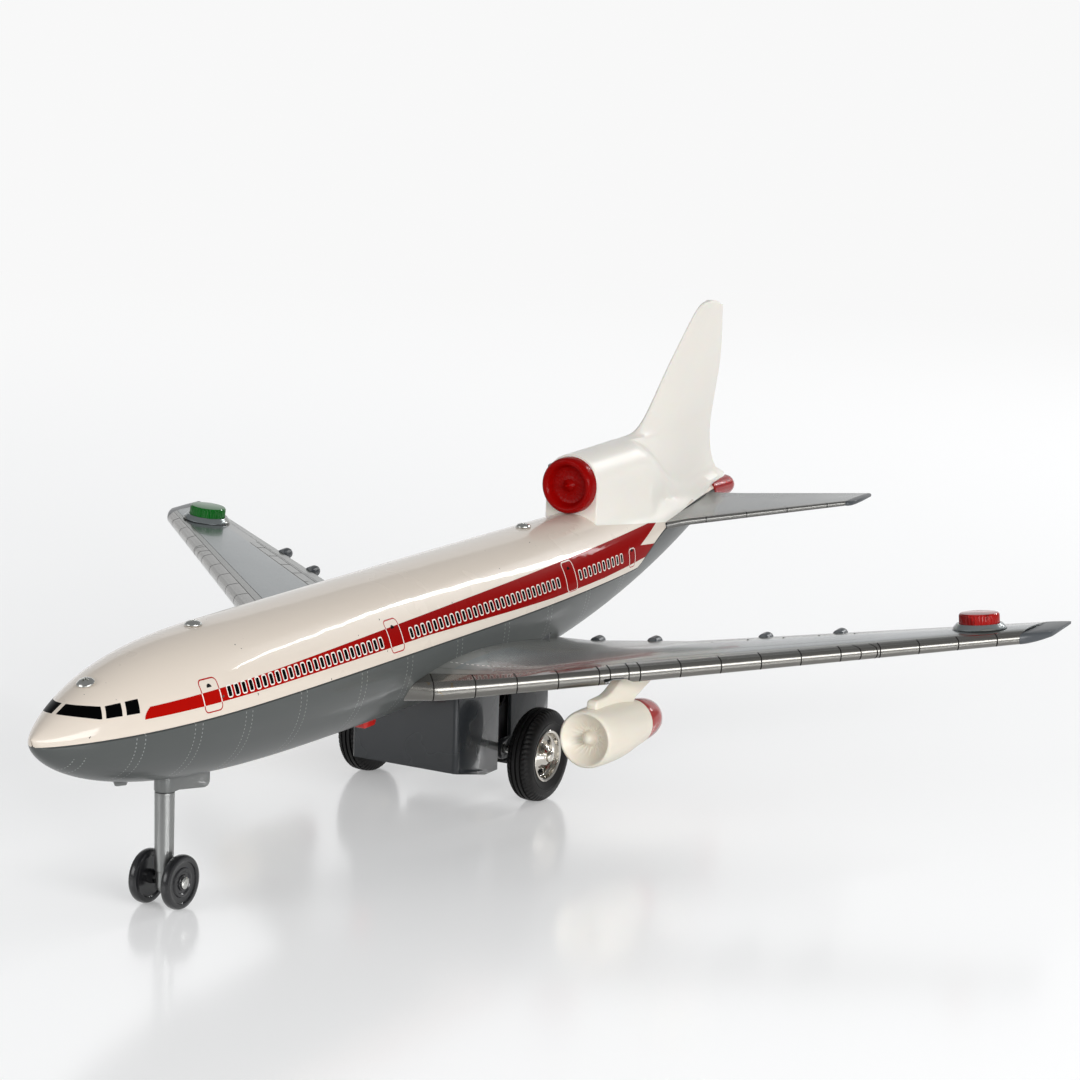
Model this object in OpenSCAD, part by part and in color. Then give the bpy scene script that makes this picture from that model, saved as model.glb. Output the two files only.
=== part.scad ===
// Battery toy airliner with three jet engines, pressed tin fuselage and wings.
// The origin is on the ground, below the middle of its length: the nose points
// to -Y, the port side is +X and +Z is up.

/* [Overall] */
// Length from the nose to the end of the tail lamp
length = 581; // [579:0.5:583]
// Width over the wing tips
span = 482; // [478:1:488]
// Height of the top of the fin
fin_top = 201; // [197:0.5:205]
// Distance from the nose back to the main axle
axle_back = 304; // [303:0.5:305]

/* [Fuselage] */
// Radius of the round middle of the fuselage
body_r = 31.5; // [31:0.1:32]
// Height of the centre of that round
body_z = 79; // [78.5:0.1:79.5]
// Height of the tip of the nose
nose_z = 85; // [84:0.5:86]
// Length over which the roof rises behind the nose
roof_ramp = 129; // [120:1:140]
// Length over which the belly falls behind the nose
belly_ramp = 260; // [240:1:280]
// Where the tin tail ends
tail_y = 265.5; // [264:0.5:267]
// Height of the belly where the tail ends
tail_z = 96; // [95.5:0.1:96.5]
// Height of the seam between the two tin halves
seam_z = 81.7; // [81:0.1:82.5]
// Thickness of the tin
tin = 0.5; // [0.4:0.1:0.8]

/* [Wings] */
// Where the leading edge crosses the side of the fuselage
wing_root_y = -72.5; // [-74:0.5:-71]
// How far the leading edge moves back for each millimetre of span
sweep = 0.919; // [0.91:0.002:0.93]
// How far the wing rises for each millimetre of span
dihedral = 0.0915; // [0.088:0.0005:0.095]
// Height of the leading edge at the side of the fuselage
wing_root_z = 62.9; // [62:0.1:64]
// Distance from the centre line to the kink of the trailing edge
kink_x = 95; // [92:1:98]
// Radius of the rounded leading edge at the root
edge_root_r = 3.9; // [3.6:0.1:4.2]
// Radius of the rounded leading edge at the tip
edge_tip_r = 2.3; // [2.1:0.1:2.5]
// Length of the moulded wing tips
tip_len = 9.5; // [8:0.5:11]

/* [Lamps] */
// Distance of the wing lamps from the centre line
lamp_x = 210.8; // [208:0.2:213]
// Radius of the wing lamp lenses
lamp_r = 9.1; // [8.5:0.1:9.5]
// Height of the wing lamp lenses
lamp_h = 4.6; // [4:0.1:5.5]
// Radius of the tail lamp
tail_lamp_r = 5.3; // [5:0.1:5.4]

/* [Engines] */
// Distance of the wing engines from the centre line
engine_x = 90; // [88:0.5:92]
// Height of the wing engine axis
engine_z = 43.9; // [43:0.1:45]
// Where the front lip of the wing engines stands
engine_y = -28.5; // [-30:0.5:-27]
// Largest radius of the wing engines
engine_r = 12.4; // [12:0.1:12.8]
// Radius of the tail engine's duct
duct_r = 14; // [13.8:0.1:14.2]
// Height of the tail engine axis
duct_z = 124.3; // [124:0.1:125]
// Where the front face of the tail moulding stands
duct_y = 118.5; // [117:0.5:120]

/* [Undercarriage] */
// Diameter of the main wheels
wheel_d = 42; // [41:0.1:42.4]
// Width of the main wheels
wheel_w = 12; // [11:0.1:12.4]
// Distance between the middles of the main wheels
track = 89; // [88:0.5:91]
// Diameter of the nose wheels
nose_wheel_d = 22; // [21:0.1:23]
// Width of each nose wheel
nose_wheel_w = 4; // [3.6:0.1:4.4]
// Where the nose leg stands
leg_y = -207.5; // [-208.5:0.5:-206.5]
// Diameter of the nose leg
leg_d = 8; // [7.6:0.1:8.2]

/* [Drive] */
// Half the width of the battery box and gear housing
box_x = 27; // [26.9:0.1:27.2]
// Diameter of a battery cell
cell_d = 26.2; // [25.6:0.1:26.2]
// Length of a battery cell
cell_len = 50; // [49:0.5:50]
// Teeth of the motor pinion
pinion_teeth = 10; // [10:1:10]
// Teeth of the large compound wheel
large_teeth = 36; // [36:1:36]
// Teeth of the small compound wheel
small_teeth = 12; // [12:1:12]
// Teeth of the axle gear
axle_teeth = 24; // [24:1:24]

/* [Hidden] */
$fn = 48;

nose_y = -length / 2;
axle_y = nose_y + axle_back;
axle_z = wheel_d / 2;

// Fuselage profile
roof_fall_y = 93.5;
roof_fall = 5;
rise_y = 0.5;
nose_gap = 0.3;

function roof_z(y) =
    let (t = min(1, (y - nose_y) / roof_ramp),
         f = max(0, (y - roof_fall_y) / (tail_y - roof_fall_y)))
    nose_z + (body_z + body_r - nose_z) * (1 - pow(1 - t, 3)) - roof_fall * f * f;

function keel_z(y) =
    let (t = min(1, (y - nose_y) / belly_ramp),
         f = max(0, (y - rise_y) / (tail_y - rise_y)))
    nose_z - (nose_z - body_z + body_r) * pow(1 - pow(1 - t, 4), 0.595)
    + (tail_z - body_z + body_r) * pow(f, 1.74);

function half_z(y) = (roof_z(y) - keel_z(y)) / 2;
function mid_z(y) = (roof_z(y) + keel_z(y)) / 2;
// Half width of the fuselage at a height
function side_x(y, z) = sqrt(max(0, pow(half_z(y), 2) - pow(z - mid_z(y), 2)));
// Height of the top of the fuselage at a distance from the centre line
function crown_z(y, x) = mid_z(y) + sqrt(max(0, pow(half_z(y), 2) - x * x));
// Slope of the fuselage profile
function flare(y) = (half_z(y + 0.1) - half_z(y)) / 0.1;

// The seam is level, and curves up to the stabilisers at the tail
seam_rise_y = 149.5;
function seam_at(y) = y < seam_rise_y ? seam_z : seam_z + 22 * (1 - exp((seam_rise_y - y) / 38));
function seam_angle(y) = let (s = (seam_at(y) - mid_z(y)) / half_z(y)) asin(max(-0.8, min(0.95, s)));

nose_steps = 13;
tail_steps = 10;
stations = [
    for (i = [0:nose_steps]) nose_y + nose_gap + (rise_y - nose_y - nose_gap) * pow(i / nose_steps, 2),
    for (i = [1:tail_steps]) rise_y + (tail_y - rise_y) * i / tail_steps
];

// Points across the fuselage at one station, between two angles
function arc_at(y, from, to, steps) =
    [for (i = [0:steps]) let (a = from + (to - from) * i / steps)
        [half_z(y) * cos(a), y, mid_z(y) + half_z(y) * sin(a)]];

// The same points one tin thickness further in
function inner_arc_at(y, from, to, steps) =
    let (s = flare(y), n = sqrt(1 + s * s), r = max(0.03, half_z(y) - tin / n), v = y + tin * s / n)
    [for (i = [steps:-1:0]) let (a = from + (to - from) * i / steps)
        [r * cos(a), v, mid_z(y) + r * sin(a)]];

// Two triangles for the patch between two rings, with either diagonal
function patch(a, b, c, d, other = false) = other ? [[a, d, b], [b, d, c]] : [[a, c, b], [a, d, c]];

// Sides of a loft through rings with n points each; the diagonal turns from point "turn" on
function skin_faces(rings, n, turn) = [for (i = [0:rings - 2], j = [0:n - 1]) let (k = (j + 1) % n)
    each patch(i * n + j, (i + 1) * n + j, (i + 1) * n + k, i * n + k, j >= turn)];

// Closed solid through rings with the same number of points
module loft(rings) {
    n = len(rings[0]);
    last = (len(rings) - 1) * n;
    polyhedron(
        points = [for (ring = rings) each ring],
        faces = [
            for (j = [1:n - 2]) [0, j + 1, j],
            each skin_faces(len(rings), n, n),
            for (j = [1:n - 2]) [last, last + j, last + j + 1]
        ]);
}

// Closed sheet through rings that go out along one face and back along the other. Both faces are
// divided along the same lines, so that a twisted sheet keeps its thickness.
module sheet(rings) {
    n = len(rings[0]);
    half = n / 2;
    last = (len(rings) - 1) * n;
    polyhedron(
        points = [for (ring = rings) each ring],
        faces = [
            for (j = [0:half - 2]) each patch(j, j + 1, n - 2 - j, n - 1 - j),
            each skin_faces(len(rings), n, half),
            for (j = [0:half - 2]) each patch(last + n - 1 - j, last + n - 2 - j, last + j + 1, last + j)
        ]);
}

module starboard() { mirror([1, 0, 0]) children(); }
module along_x(x) { translate([x, 0, 0]) rotate([0, 90, 0]) children(); }
// Extrudes an outline drawn along Y and Z, starting at x
module along_x_yz(x, len) { translate([x, 0, 0]) rotate([90, 0, 90]) linear_extrude(len) children(); }
module along_y(y) { translate([0, y, 0]) rotate([-90, 0, 0]) children(); }

// Fuselage
screw_ys = [nose_y + 32.5, nose_y + 101, nose_y + 363];
screw_r = 1.5;
housing_y0 = axle_y - 43;
housing_y1 = axle_y + 40.5;
upper_steps = 18;
lower_steps = 22;

module fuselage_upper() {
    color("ivory") difference() {
        sheet([for (y = stations) let (a = seam_angle(y))
            concat(arc_at(y, a, 180 - a, upper_steps), inner_arc_at(y, a, 180 - a, upper_steps))]);
        for (y = screw_ys) at_roof(y) translate([0, 0, -8]) cylinder(r = screw_r + 0.1, h = 16);
    }
}

module fuselage_lower() {
    color("dimgray") difference() {
        sheet([for (y = stations) let (a = seam_angle(y))
            concat(arc_at(y, 180 - a, 360 + a, lower_steps),
                   inner_arc_at(y, 180 - a, 360 + a, lower_steps))]);
        translate([-box_x, housing_y0, 0]) cube([2 * box_x, housing_y1 - housing_y0, body_z - 5]);
        translate([0, leg_y, 0]) cylinder(r = bracket_r, h = body_z);
        translate([-bracket_r, leg_y, 0]) cube([2 * bracket_r, bracket_end_y - leg_y, body_z]);
        translate([-slot_w / 2, switch_y - neck_len / 2 - 0.3, 0])
            cube([slot_w, neck_len + switch_travel + 0.6, body_z]);
    }
}

// Stands its children on the roof, square to it
module at_roof(y) {
    translate([0, y, roof_z(y)]) rotate([atan((roof_z(y + 1) - roof_z(y - 1)) / 2), 0, 0]) children();
}

// Cross-head screws that hold the two halves together
module roof_screws() {
    color("silver") for (y = screw_ys) at_roof(y) difference() {
        union() {
            rotate_extrude() polygon([[0, 0.15], [3.6, 0.15], [3.5, 0.7], [2.6, 1.5], [1.2, 1.9], [0, 2]]);
            translate([0, 0, -9]) cylinder(r = screw_r, h = 9.5);
        }
        for (a = [0, 90]) rotate([0, 0, a]) translate([-1.7, -0.35, 0.9]) cube([3.4, 0.7, 2]);
    }
}

// Tubular posts that stand on the belly, or on the nose bracket, and take the screws
module screw_posts() {
    color("lightgray") for (y = screw_ys) difference() {
        at_roof(y) translate([0, 0, -80]) cylinder(r = 3, h = 80 - tin - 0.4);
        at_roof(y) translate([0, 0, -9.5]) cylinder(r = screw_r, h = 12);
        along_x_yz(-10, 20) polygon([[y - 40, 0], [y + 40, 0],
            [y + 40, post_foot_z(y + 40, y)], [y - 40, post_foot_z(y - 40, y)]]);
    }
}

// Where the axis of a post that leans with the roof meets the belly
function foot_y(y) = y + (roof_z(y) - keel_z(y)) * (roof_z(y + 1) - roof_z(y - 1)) / 2;
foot_gap = 0.5;
function post_foot_z(y, post_y) = abs(post_y - leg_y) < 30 ? bracket_top
    : let (f = foot_y(post_y)) keel_z(f) + tin + foot_gap + (y - f) * (keel_z(f + 1) - keel_z(f - 1)) / 2;

// Wings
tip_x = span / 2;
cap_x = tip_x - tip_len;
root_x = 31;
kink_y = 60.5;
outer_rake = 0.64;
root_back_y = 74;
root_back_z = 60;
crown = 0.9;
wing_skin = 0.45;
flat_from = 0.26;

function edge_y(x) = wing_root_y + sweep * (x - root_x);
function edge_z(x) = wing_root_z + dihedral * (x - root_x);
function edge_r(x) = edge_root_r + (edge_tip_r - edge_root_r) * (x - root_x) / (tip_x - root_x);
function back_y(x) = x > kink_x ? kink_y + outer_rake * (x - kink_x)
    : kink_y + (root_back_y - kink_y) * (kink_x - x) / (kink_x - root_x);
function back_z(x) = x > kink_x ? edge_z(x) + 2.1 - 0.6 * (x - kink_x) / (tip_x - kink_x)
    : root_back_z + (edge_z(kink_x) + 2.1 - root_back_z) * (x - root_x) / (kink_x - root_x);
// The top swells where the wing meets the fuselage
function swell(x, s) = 7 * pow(max(0, 1 - (x - root_x) / 34), 2) * sin(180 * pow(s, 0.75));
function wing_at(x, s, up) =
    [x, edge_y(x) + (back_y(x) - edge_y(x)) * s,
     edge_z(x) + (back_z(x) - edge_z(x)) * s + up + (up > 0 ? swell(x, s) : 0)];
function chord(x) = back_y(x) - edge_y(x);

// Section of the top pressing: folded under the nose, round it and back over the crown
fold = 1.5;
function top_line(x, inset) =
    let (r = edge_r(x), c = chord(x), q = r - inset)
    [wing_at(x, fold * r / c, -q), for (a = [-90:30:90]) wing_at(x, (r - q * cos(a)) / c, q * sin(a)),
     wing_at(x, flat_from * 0.45, q + crown * 0.6), wing_at(x, flat_from, q + crown),
     wing_at(x, 0.5, q * 0.8 + crown),
     wing_at(x, 0.75, q * 0.5 + crown * 0.7), wing_at(x, 1, 0.5 - inset / 2)];

function reversed(list) = [for (i = [len(list) - 1:-1:0]) list[i]];
// The root ring lies on the side of the fuselage, or of whatever is wider
function onto_body(points, wider = 0) = [for (p = points) [max(side_x(p.y, p.z), wider) + 0.12, p.y, p.z]];

wing_xs = [root_x, 38, 46, 56, 70, kink_x, cap_x];

module wing_top() {
    sheet([for (i = [0:len(wing_xs) - 1]) let (x = wing_xs[i],
        outer = top_line(x, 0), inner = reversed(top_line(x, wing_skin)), ring = concat(outer, inner))
        i == 0 ? onto_body(ring) : ring]);
}

// Flat lower pressing that lies on the folded edge of the top one
function under(x, s) = wing_at(x, s, -(edge_r(x) - wing_skin - 0.1) * (1 - s) - 0.6 * s);
// Shares of the chord just ahead of the battery box and just behind the gear housing
box_from = (housing_y0 - 2 - wing_root_y) / chord(root_x);
box_to = (housing_y1 + 2 - wing_root_y) / chord(root_x);
function beside_box(points) = [for (p = points) onto_body([p],
    p.y > housing_y0 - 3 && p.y < housing_y1 + 3 ? box_x : 0)[0]];
module wing_bottom() {
    sheet([for (i = [0:len(wing_xs) - 1]) let (x = wing_xs[i],
        low = [for (s = [0.9 * edge_r(x) / chord(x), box_from, 0.6, box_to, 1]) under(x, s)],
        ring = concat(reversed(low), [for (p = low) p + [0, 0, wing_skin - 0.1]]))
        i == 0 ? beside_box(ring) : ring]);
}

module wing_top_port() { color("silver") wing_top(); }
module wing_top_starboard() { color("silver") starboard() wing_top(); }
module wing_bottom_port() { color("darkgray") wing_bottom(); }
module wing_bottom_starboard() { color("darkgray") starboard() wing_bottom(); }

// Moulded cap that closes the end of the wing
module wing_tip() {
    function ring(x, grow, front, back) =
        let (r = edge_r(x) * grow, c = chord(x) - front - back)
        [for (a = [-90:30:90]) wing_at(x, (front + r - r * cos(a)) / chord(x), r * sin(a)),
         wing_at(x, (front + 0.7 * c) / chord(x), 0.6 * r), wing_at(x, (front + c) / chord(x), 0.5),
         wing_at(x, (front + c) / chord(x), -0.7)];
    loft([ring(cap_x + 0.05, 1.02, 0, 0), ring(cap_x + tip_len * 0.6, 0.85, 1, 1),
          ring(tip_x, 0.5, 7, 2)]);
}

module wing_tip_port() { color("dimgray") wing_tip(); }
module wing_tip_starboard() { color("dimgray") starboard() wing_tip(); }

// Pods under the trailing edge
fairing_xs = [40, 70, 119, 151];
fairing_r = 2.4;
module flap_fairings() {
    for (x = fairing_xs) {
        y0 = back_y(x) - min(40, 0.55 * chord(x));
        y1 = back_y(x) + 8;
        z = back_z(x) - 1.2 - fairing_r;
        translate([x, y0, z - 1.5]) rotate([-90 + atan(1.5 / (y1 - y0)), 0, 0])
            rotate_extrude($fn = 20) polygon([
                [0, 0], [1.2, 0.6], [fairing_r, 7], [fairing_r, y1 - y0 - 10], [1.3, y1 - y0 - 1], [0, y1 - y0]]);
    }
}

module flap_fairings_port() { color("gray") flap_fairings(); }
module flap_fairings_starboard() { color("gray") starboard() flap_fairings(); }

// Wing lamps: a raised seat, a bulb and a ribbed lens
lamp_s = 0.57;
lamp_up = edge_r(lamp_x) * 0.72 + crown;
lamp_at = wing_at(lamp_x, lamp_s, lamp_up);
seat_h = 2.6;
// Tilt of the wing's crown under the lamp
lamp_tilt = [-2.15, -6.3, 0];
module on_wing() {
    translate(lamp_at) rotate(lamp_tilt) children();
}

module lamp_seat() {
    on_wing() rotate_extrude() polygon([
        [2.6, 0.2], [12.2, 0.2], [12, 1.2], [lamp_r + 1, seat_h], [lamp_r + 0.2, seat_h],
        [lamp_r + 0.2, 1.4], [2.6, 1.4]]);
}

module lamp_lens() {
    on_wing() translate([0, 0, 1.45]) difference() {
        union() {
            cylinder(r = lamp_r, h = lamp_h + seat_h - 2);
            for (a = [0:15:345]) rotate([0, 0, a]) translate([lamp_r - 0.6, -0.6, seat_h - 1.2])
                cube([0.8, 1.2, lamp_h - 1.2]);
            translate([0, 0, lamp_h + seat_h - 2]) cylinder(r1 = lamp_r, r2 = lamp_r - 0.6, h = 0.55);
        }
        translate([0, 0, -1]) cylinder(r = lamp_r - 1.2, h = lamp_h + seat_h - 2.2);
    }
}

module lamp_bulb() {
    on_wing() rotate_extrude($fn = 24) polygon([
        [0, 1.45], [2.4, 1.45], [2.4, 3], [2.1, 3.2], [2.1, 3.8], [1.6, 4.7], [0.7, 5.1], [0, 5.2]]);
}

module lamp_seat_port() { color("silver") lamp_seat(); }
module lamp_seat_starboard() { color("silver") starboard() lamp_seat(); }
module lamp_lens_port() { color("red") lamp_lens(); }
module lamp_lens_starboard() { color("green") starboard() lamp_lens(); }
module lamp_bulb_port() { color("gold") lamp_bulb(); }
module lamp_bulb_starboard() { color("gold") starboard() lamp_bulb(); }

// Tail moulding: duct, saddle and fin in one white piece
duct_end_y = 172;
duct_top_z = 139;
cone_y = 205;
cone_z = 112;
last_y = 262;
fin_y = 187.5;
fin_slope = 1.12;
fin_root_t = 6.6;
fin_tip_t = 2.6;
fin_low_z = 118;
beak_z = 108.4;
beak_len = 19;

function ease(t) = let (u = max(0, min(1, t))) u * u * (3 - 2 * u);
function mix(a, b, t) = a + (b - a) * t;
// Lower edge of the moulding, down the side of the fuselage to the stabiliser and up behind it
stab_y = 187.5;
stab_end_y = 252;
saddle_zs = [106.2, 98, 103, 107.3];
function saddle_z(y) =
    y < stab_y ? mix(saddle_zs[0], saddle_zs[1], (y - duct_y) / (stab_y - duct_y))
    : y < stab_end_y ? mix(saddle_zs[1], saddle_zs[2], (y - stab_y) / (stab_end_y - stab_y))
    : mix(saddle_zs[2], saddle_zs[3], (y - stab_end_y) / (last_y - stab_end_y));
function saddle_x(y) = max(4.4, side_x(y, saddle_z(y)));
// Upper outline of duct and fin
function bend(t, soft) = soft * ln(1 + exp(t / soft));
function top_z(y) =
    let (duct = duct_top_z + min(1, (y - duct_y) / 40), fin = duct + fin_slope * bend(y - fin_y, 6))
    fin_top - bend(fin_top - fin, 3) - 3 * ease((y - stab_end_y) / (last_y - stab_end_y));
// Leading edge of the fin at a height, by search along the outline
function fin_front(z, lo = 160, hi = 248, n = 10) =
    n == 0 ? (lo + hi) / 2
    : top_z((lo + hi) / 2) < z ? fin_front(z, (lo + hi) / 2, hi, n - 1) : fin_front(z, lo, (lo + hi) / 2, n - 1);
// Its trailing edge sweeps out to a beak over the tail lamp
function fin_back(z) = last_y + beak_len * exp(min((beak_z - z) / 7, (z - beak_z) / 1.5))
    + 10 * ease((z - 130) / 50);
// Half thickness of the fin and of the duct at a place
function fin_t(y, z) =
    let (c = fin_back(z) - fin_front(z), s = max(0, min(1, (y - fin_front(z)) / max(1, c))))
    mix(fin_root_t, fin_tip_t, ease((z - fin_low_z) / 90)) * pow(min(1, s / 0.35), 0.5) * (1 - 0.72 * pow(s, 2.2));
function duct_half(y) = mix(duct_r, 6.2, ease((y - duct_end_y) / (cone_y - duct_end_y)));
function duct_top(y) = mix(duct_top_z + (y - duct_y) / 40, cone_z, ease((y - duct_end_y + 6) / 60));
function duct_t(y, z) =
    let (w = duct_half(y), f = w + (saddle_x(y) - w) * exp((saddle_z(y) - z) / 3.5), up = duct_top(y) - w)
    z < up ? f : z < duct_top(y) ? f * sqrt(max(0, 1 - pow((z - up) / w, 2))) : 0;
function half_t(y, z) =
    let (d = duct_t(y, z), f = y < 160 ? 0 : fin_t(y, z) * (1 - exp((saddle_z(y) - z) / 5)))
    pow(pow(d, 3) + pow(f, 3), 1 / 3);

side_steps = 14;
saddle_steps = 6;
// Rings of the moulding lean back to the trailing edge of the fin
function lean(y, z) = (fin_back(z) - last_y) * ease((y - cone_y) / (last_y - cone_y));
function ring_z(y, t) = mix(saddle_z(y), top_z(y), t);
function moulding_ring(y) =
    let (side = [for (i = [0:side_steps - 1]) let (t = sin(90 * i / side_steps), z = ring_z(y, t))
            [half_t(y, z), y + lean(y, z), z]],
         bottom = [for (i = [1:saddle_steps - 1]) let (x = saddle_x(y) * (2 * i / saddle_steps - 1))
            [x, y + lean(y, saddle_z(y)), max(saddle_z(y), crown_z(y, x) + 0.12)]])
    concat([[0, y + lean(y, top_z(y)), top_z(y)]],
           [for (p = reversed(side)) [-p.x, p.y, p.z]], bottom, side);

moulding_ys = [duct_y, 130, 142, 152, for (i = [0:12]) 160 + 7.1 * i, 252.5, 258, last_y];

// Hollow inside of the moulding, open towards the fuselage
mould_wall = 1.6;
function cavity_ring(y) =
    let (low = saddle_z(y) - 4, high = top_z(y) - 2.6,
         side = [for (i = [0:8]) let (z = mix(low, high, sin(10 * i + 10)))
            [max(0.4, half_t(y, max(z, saddle_z(y) + 0.5)) - mould_wall), y + lean(y, z), z]])
    concat(side, [for (p = reversed(side)) [-p.x, p.y, p.z]]);

module tail_moulding() {
    color("white") difference() {
        loft([for (y = moulding_ys) moulding_ring(y)]);
        loft([for (y = [duct_y + 2, 135, 150, for (i = [0:7]) 163 + 11.5 * i, last_y - 8]) cavity_ring(y)]);
        translate([0, 0, tail_lamp_z]) along_y(tail_y - 0.5) cylinder(r = tail_lamp_r + 0.25, h = 30);
    }
}

// Red ring, disc and spinner in the mouth of the duct
module centre_inlet() {
    color("firebrick") translate([0, 0, duct_z]) along_y(duct_y - 6.3) difference() {
        rotate_extrude() polygon([
            [0, 0.2], [0.8, 0.3], [1.2, 1.2], [3, 2.2], [3, 4.4], [9.8, 4.4], [9.8, 1.6], [10.4, 0.5],
            [11.4, 0], [12.6, 0.5], [13.4, 1.8], [13.6, 3.6], [13.6, 6.2], [0, 6.2]]);
        for (a = [0:15:345]) rotate([0, 0, a]) translate([4.2, -0.25, 3.9]) cube([4.8, 0.5, 1]);
    }
}

tail_lamp_z = 101.7;
module tail_lamp() {
    lamp_len = length / 2 - tail_y;
    color("firebrick") translate([0, 0, tail_lamp_z]) along_y(tail_y + 0.05) difference() {
        rotate_extrude() polygon([
            [0, 0], [tail_lamp_r, 0], [tail_lamp_r, lamp_len - 6], [tail_lamp_r - 0.5, lamp_len - 3],
            [tail_lamp_r - 2, lamp_len - 1], [2.2, lamp_len - 0.05], [0, lamp_len - 0.05]]);
        translate([0, 0, -1]) cylinder(r = tail_lamp_r - 1.3, h = lamp_len - 2);
    }
}

module tail_bulb() {
    color("gold") translate([0, 0, tail_lamp_z]) along_y(tail_y + 0.1) rotate_extrude($fn = 24) polygon([
        [0, 0], [2.4, 0], [2.4, 6], [2.1, 6.4], [2.3, 9], [1.8, 11.5], [0.8, 12.6], [0, 12.8]]);
}

// Stabilisers
stab_root_x = 14;
stab_tip_x = 85;
stab_r = 1.7;
stab_sweep = 0.905;
stab_rake = 0.42;
stab_rise = 0.142;
stab_z = 96.1;
function stab_edge_y(x) = stab_y - 1.7 + stab_sweep * (x - stab_root_x);
function stab_back_y(x) = stab_end_y + 2.9 + stab_rake * (x - stab_root_x);
function stab_mid_z(x) = stab_z + stab_rise * (x - stab_root_x);
function stab_ring(x, inset = 0) =
    let (c = stab_back_y(x) - stab_edge_y(x) - 4 * inset, r = mix(stab_r, 1.2, (x - stab_root_x) / 70) - inset,
         y0 = stab_edge_y(x) + inset, z0 = stab_mid_z(x))
    [for (a = [-90:30:90]) [x, y0 + r - r * cos(a), z0 + r * sin(a)],
     [x, y0 + 0.6 * c, z0 + 0.8 * r], [x, y0 + c, z0 + 0.4 - inset / 2], [x, y0 + c, z0 - 0.4 + inset / 2],
     [x, y0 + 0.6 * c, z0 - 0.8 * r]];
// The root follows the lower edge of the tail moulding
function stab_root(inset = 0) = [for (p = stab_ring(stab_root_x, inset))
    let (z = saddle_z(p.y) + (p.z - stab_mid_z(stab_root_x)) - stab_r - 0.2)
    [side_x(p.y, z) + 0.15 - 4 * inset, p.y, z]];

module stabiliser() {
    difference() {
        loft([stab_root(), stab_ring(24), stab_ring(45), stab_ring(stab_tip_x)]);
        loft([stab_root(0.45), stab_ring(24, 0.45), stab_ring(45, 0.45), stab_ring(stab_tip_x - 1, 0.45)]);
    }
}

module stabiliser_tip() {
    function small(k, x) = let (ring = stab_ring(stab_tip_x), mid = [x, stab_edge_y(x) + 17, stab_mid_z(x)])
        [for (p = ring) mid + ([x, p.y, p.z] - mid) * k];
    loft([[for (p = stab_ring(stab_tip_x)) p + [0.05, 0, 0]], small(0.95, stab_tip_x + 1.8),
          small(0.75, stab_tip_x + 3)]);
}

module stabiliser_port() { color("silver") stabiliser(); }
module stabiliser_starboard() { color("silver") starboard() stabiliser(); }
module stabiliser_tip_port() { color("dimgray") stabiliser_tip(); }
module stabiliser_tip_starboard() { color("dimgray") starboard() stabiliser_tip(); }

// Wing engines: barrel with a fluted fan and a pylon, in one cream moulding
barrel_len = 40.5;
cone_len = 9;
pylon_w = 5;

module barrel() {
    r = engine_r;
    along_y(0) difference() {
        rotate_extrude() polygon([
            [0, 2.2], [1.4, 2.6], [2.3, 4], [2.6, 6], [r - 2.6, 5.2], [r - 1.6, 2.2], [r - 1.1, 0.3], [r - 0.6, 0],
            [r - 0.2, 0.6], [r, 4], [r + 0.1, 12], [r - 0.2, 20], [r - 0.9, 28], [r - 2, 36],
            [r - 2.7, barrel_len], [0, barrel_len]]);
        for (a = [0:20:340]) rotate([0, 0, a]) translate([3.2, -0.2, 4.8]) cube([r - 6.4, 0.4, 1.2]);
    }
}

// Height of the wing's underside over the engine
function under_wing(y) = under(engine_x, (y - edge_y(engine_x)) / chord(engine_x)).z;

// Pylon between the barrel and the wing, drawn from the side
module pylon() {
    function up(y) = under_wing(engine_y + y) - engine_z - 0.5;
    along_x_yz(-pylon_w / 2, pylon_w) polygon([
        [3, 8], [3.2, 12.6], [4, 14.6], [6, 15.9], [10, 16.8], [16, 18.6], [20.5, 20.9], [23.5, up(23.5)],
        [44, up(44)], [64, up(64)], [64, 17], [63, 15.2], [61, 14.2], [52, 11.8], [42, 10.2], [38, 8]]);
}

module engine() {
    translate([engine_x, engine_y, engine_z]) {
        barrel();
        pylon();
    }
}

module engine_cone() {
    r = engine_r - 2.8;
    translate([engine_x, engine_y + barrel_len + 0.05, engine_z]) along_y(0) rotate_extrude() polygon([
        [0, 0], [r, 0], [r - 0.5, 3], [r - 1.4, 6], [r - 2.6, cone_len - 0.8], [r - 3.6, cone_len], [0, cone_len]]);
}

module engine_port() { color("antiquewhite") engine(); }
module engine_starboard() { color("antiquewhite") starboard() engine(); }
module engine_cone_port() { color("firebrick") engine_cone(); }
module engine_cone_starboard() { color("firebrick") starboard() engine_cone(); }

// Battery box and gear housing share one outline, with a gap between them for the axle
wall = 2;
side_wall = 1.2;
box_top = 73.5;
front_low = 18.5;
deep_low = 12.5;
slope = 17;
gap_y0 = axle_y - 6;
gap_y1 = axle_y + 5;
corner = 2;
clear = 0.05;

// Block from above, with two rounded corners at its outer end
module block_plan(len) {
    translate([-box_x + corner, 0]) square([2 * (box_x - corner), len]);
    translate([-box_x, corner]) square([2 * box_x, len - corner]);
    for (x = [-1, 1]) translate([x * (box_x - corner), corner]) circle(r = corner);
}

// Underside: level near the axle, rising to the outer end
function low_z(y) = let (d = abs(y - axle_y) - slope) d < 0 ? deep_low
    : deep_low + (front_low - deep_low) * d / (axle_y - housing_y0 - slope);

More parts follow.
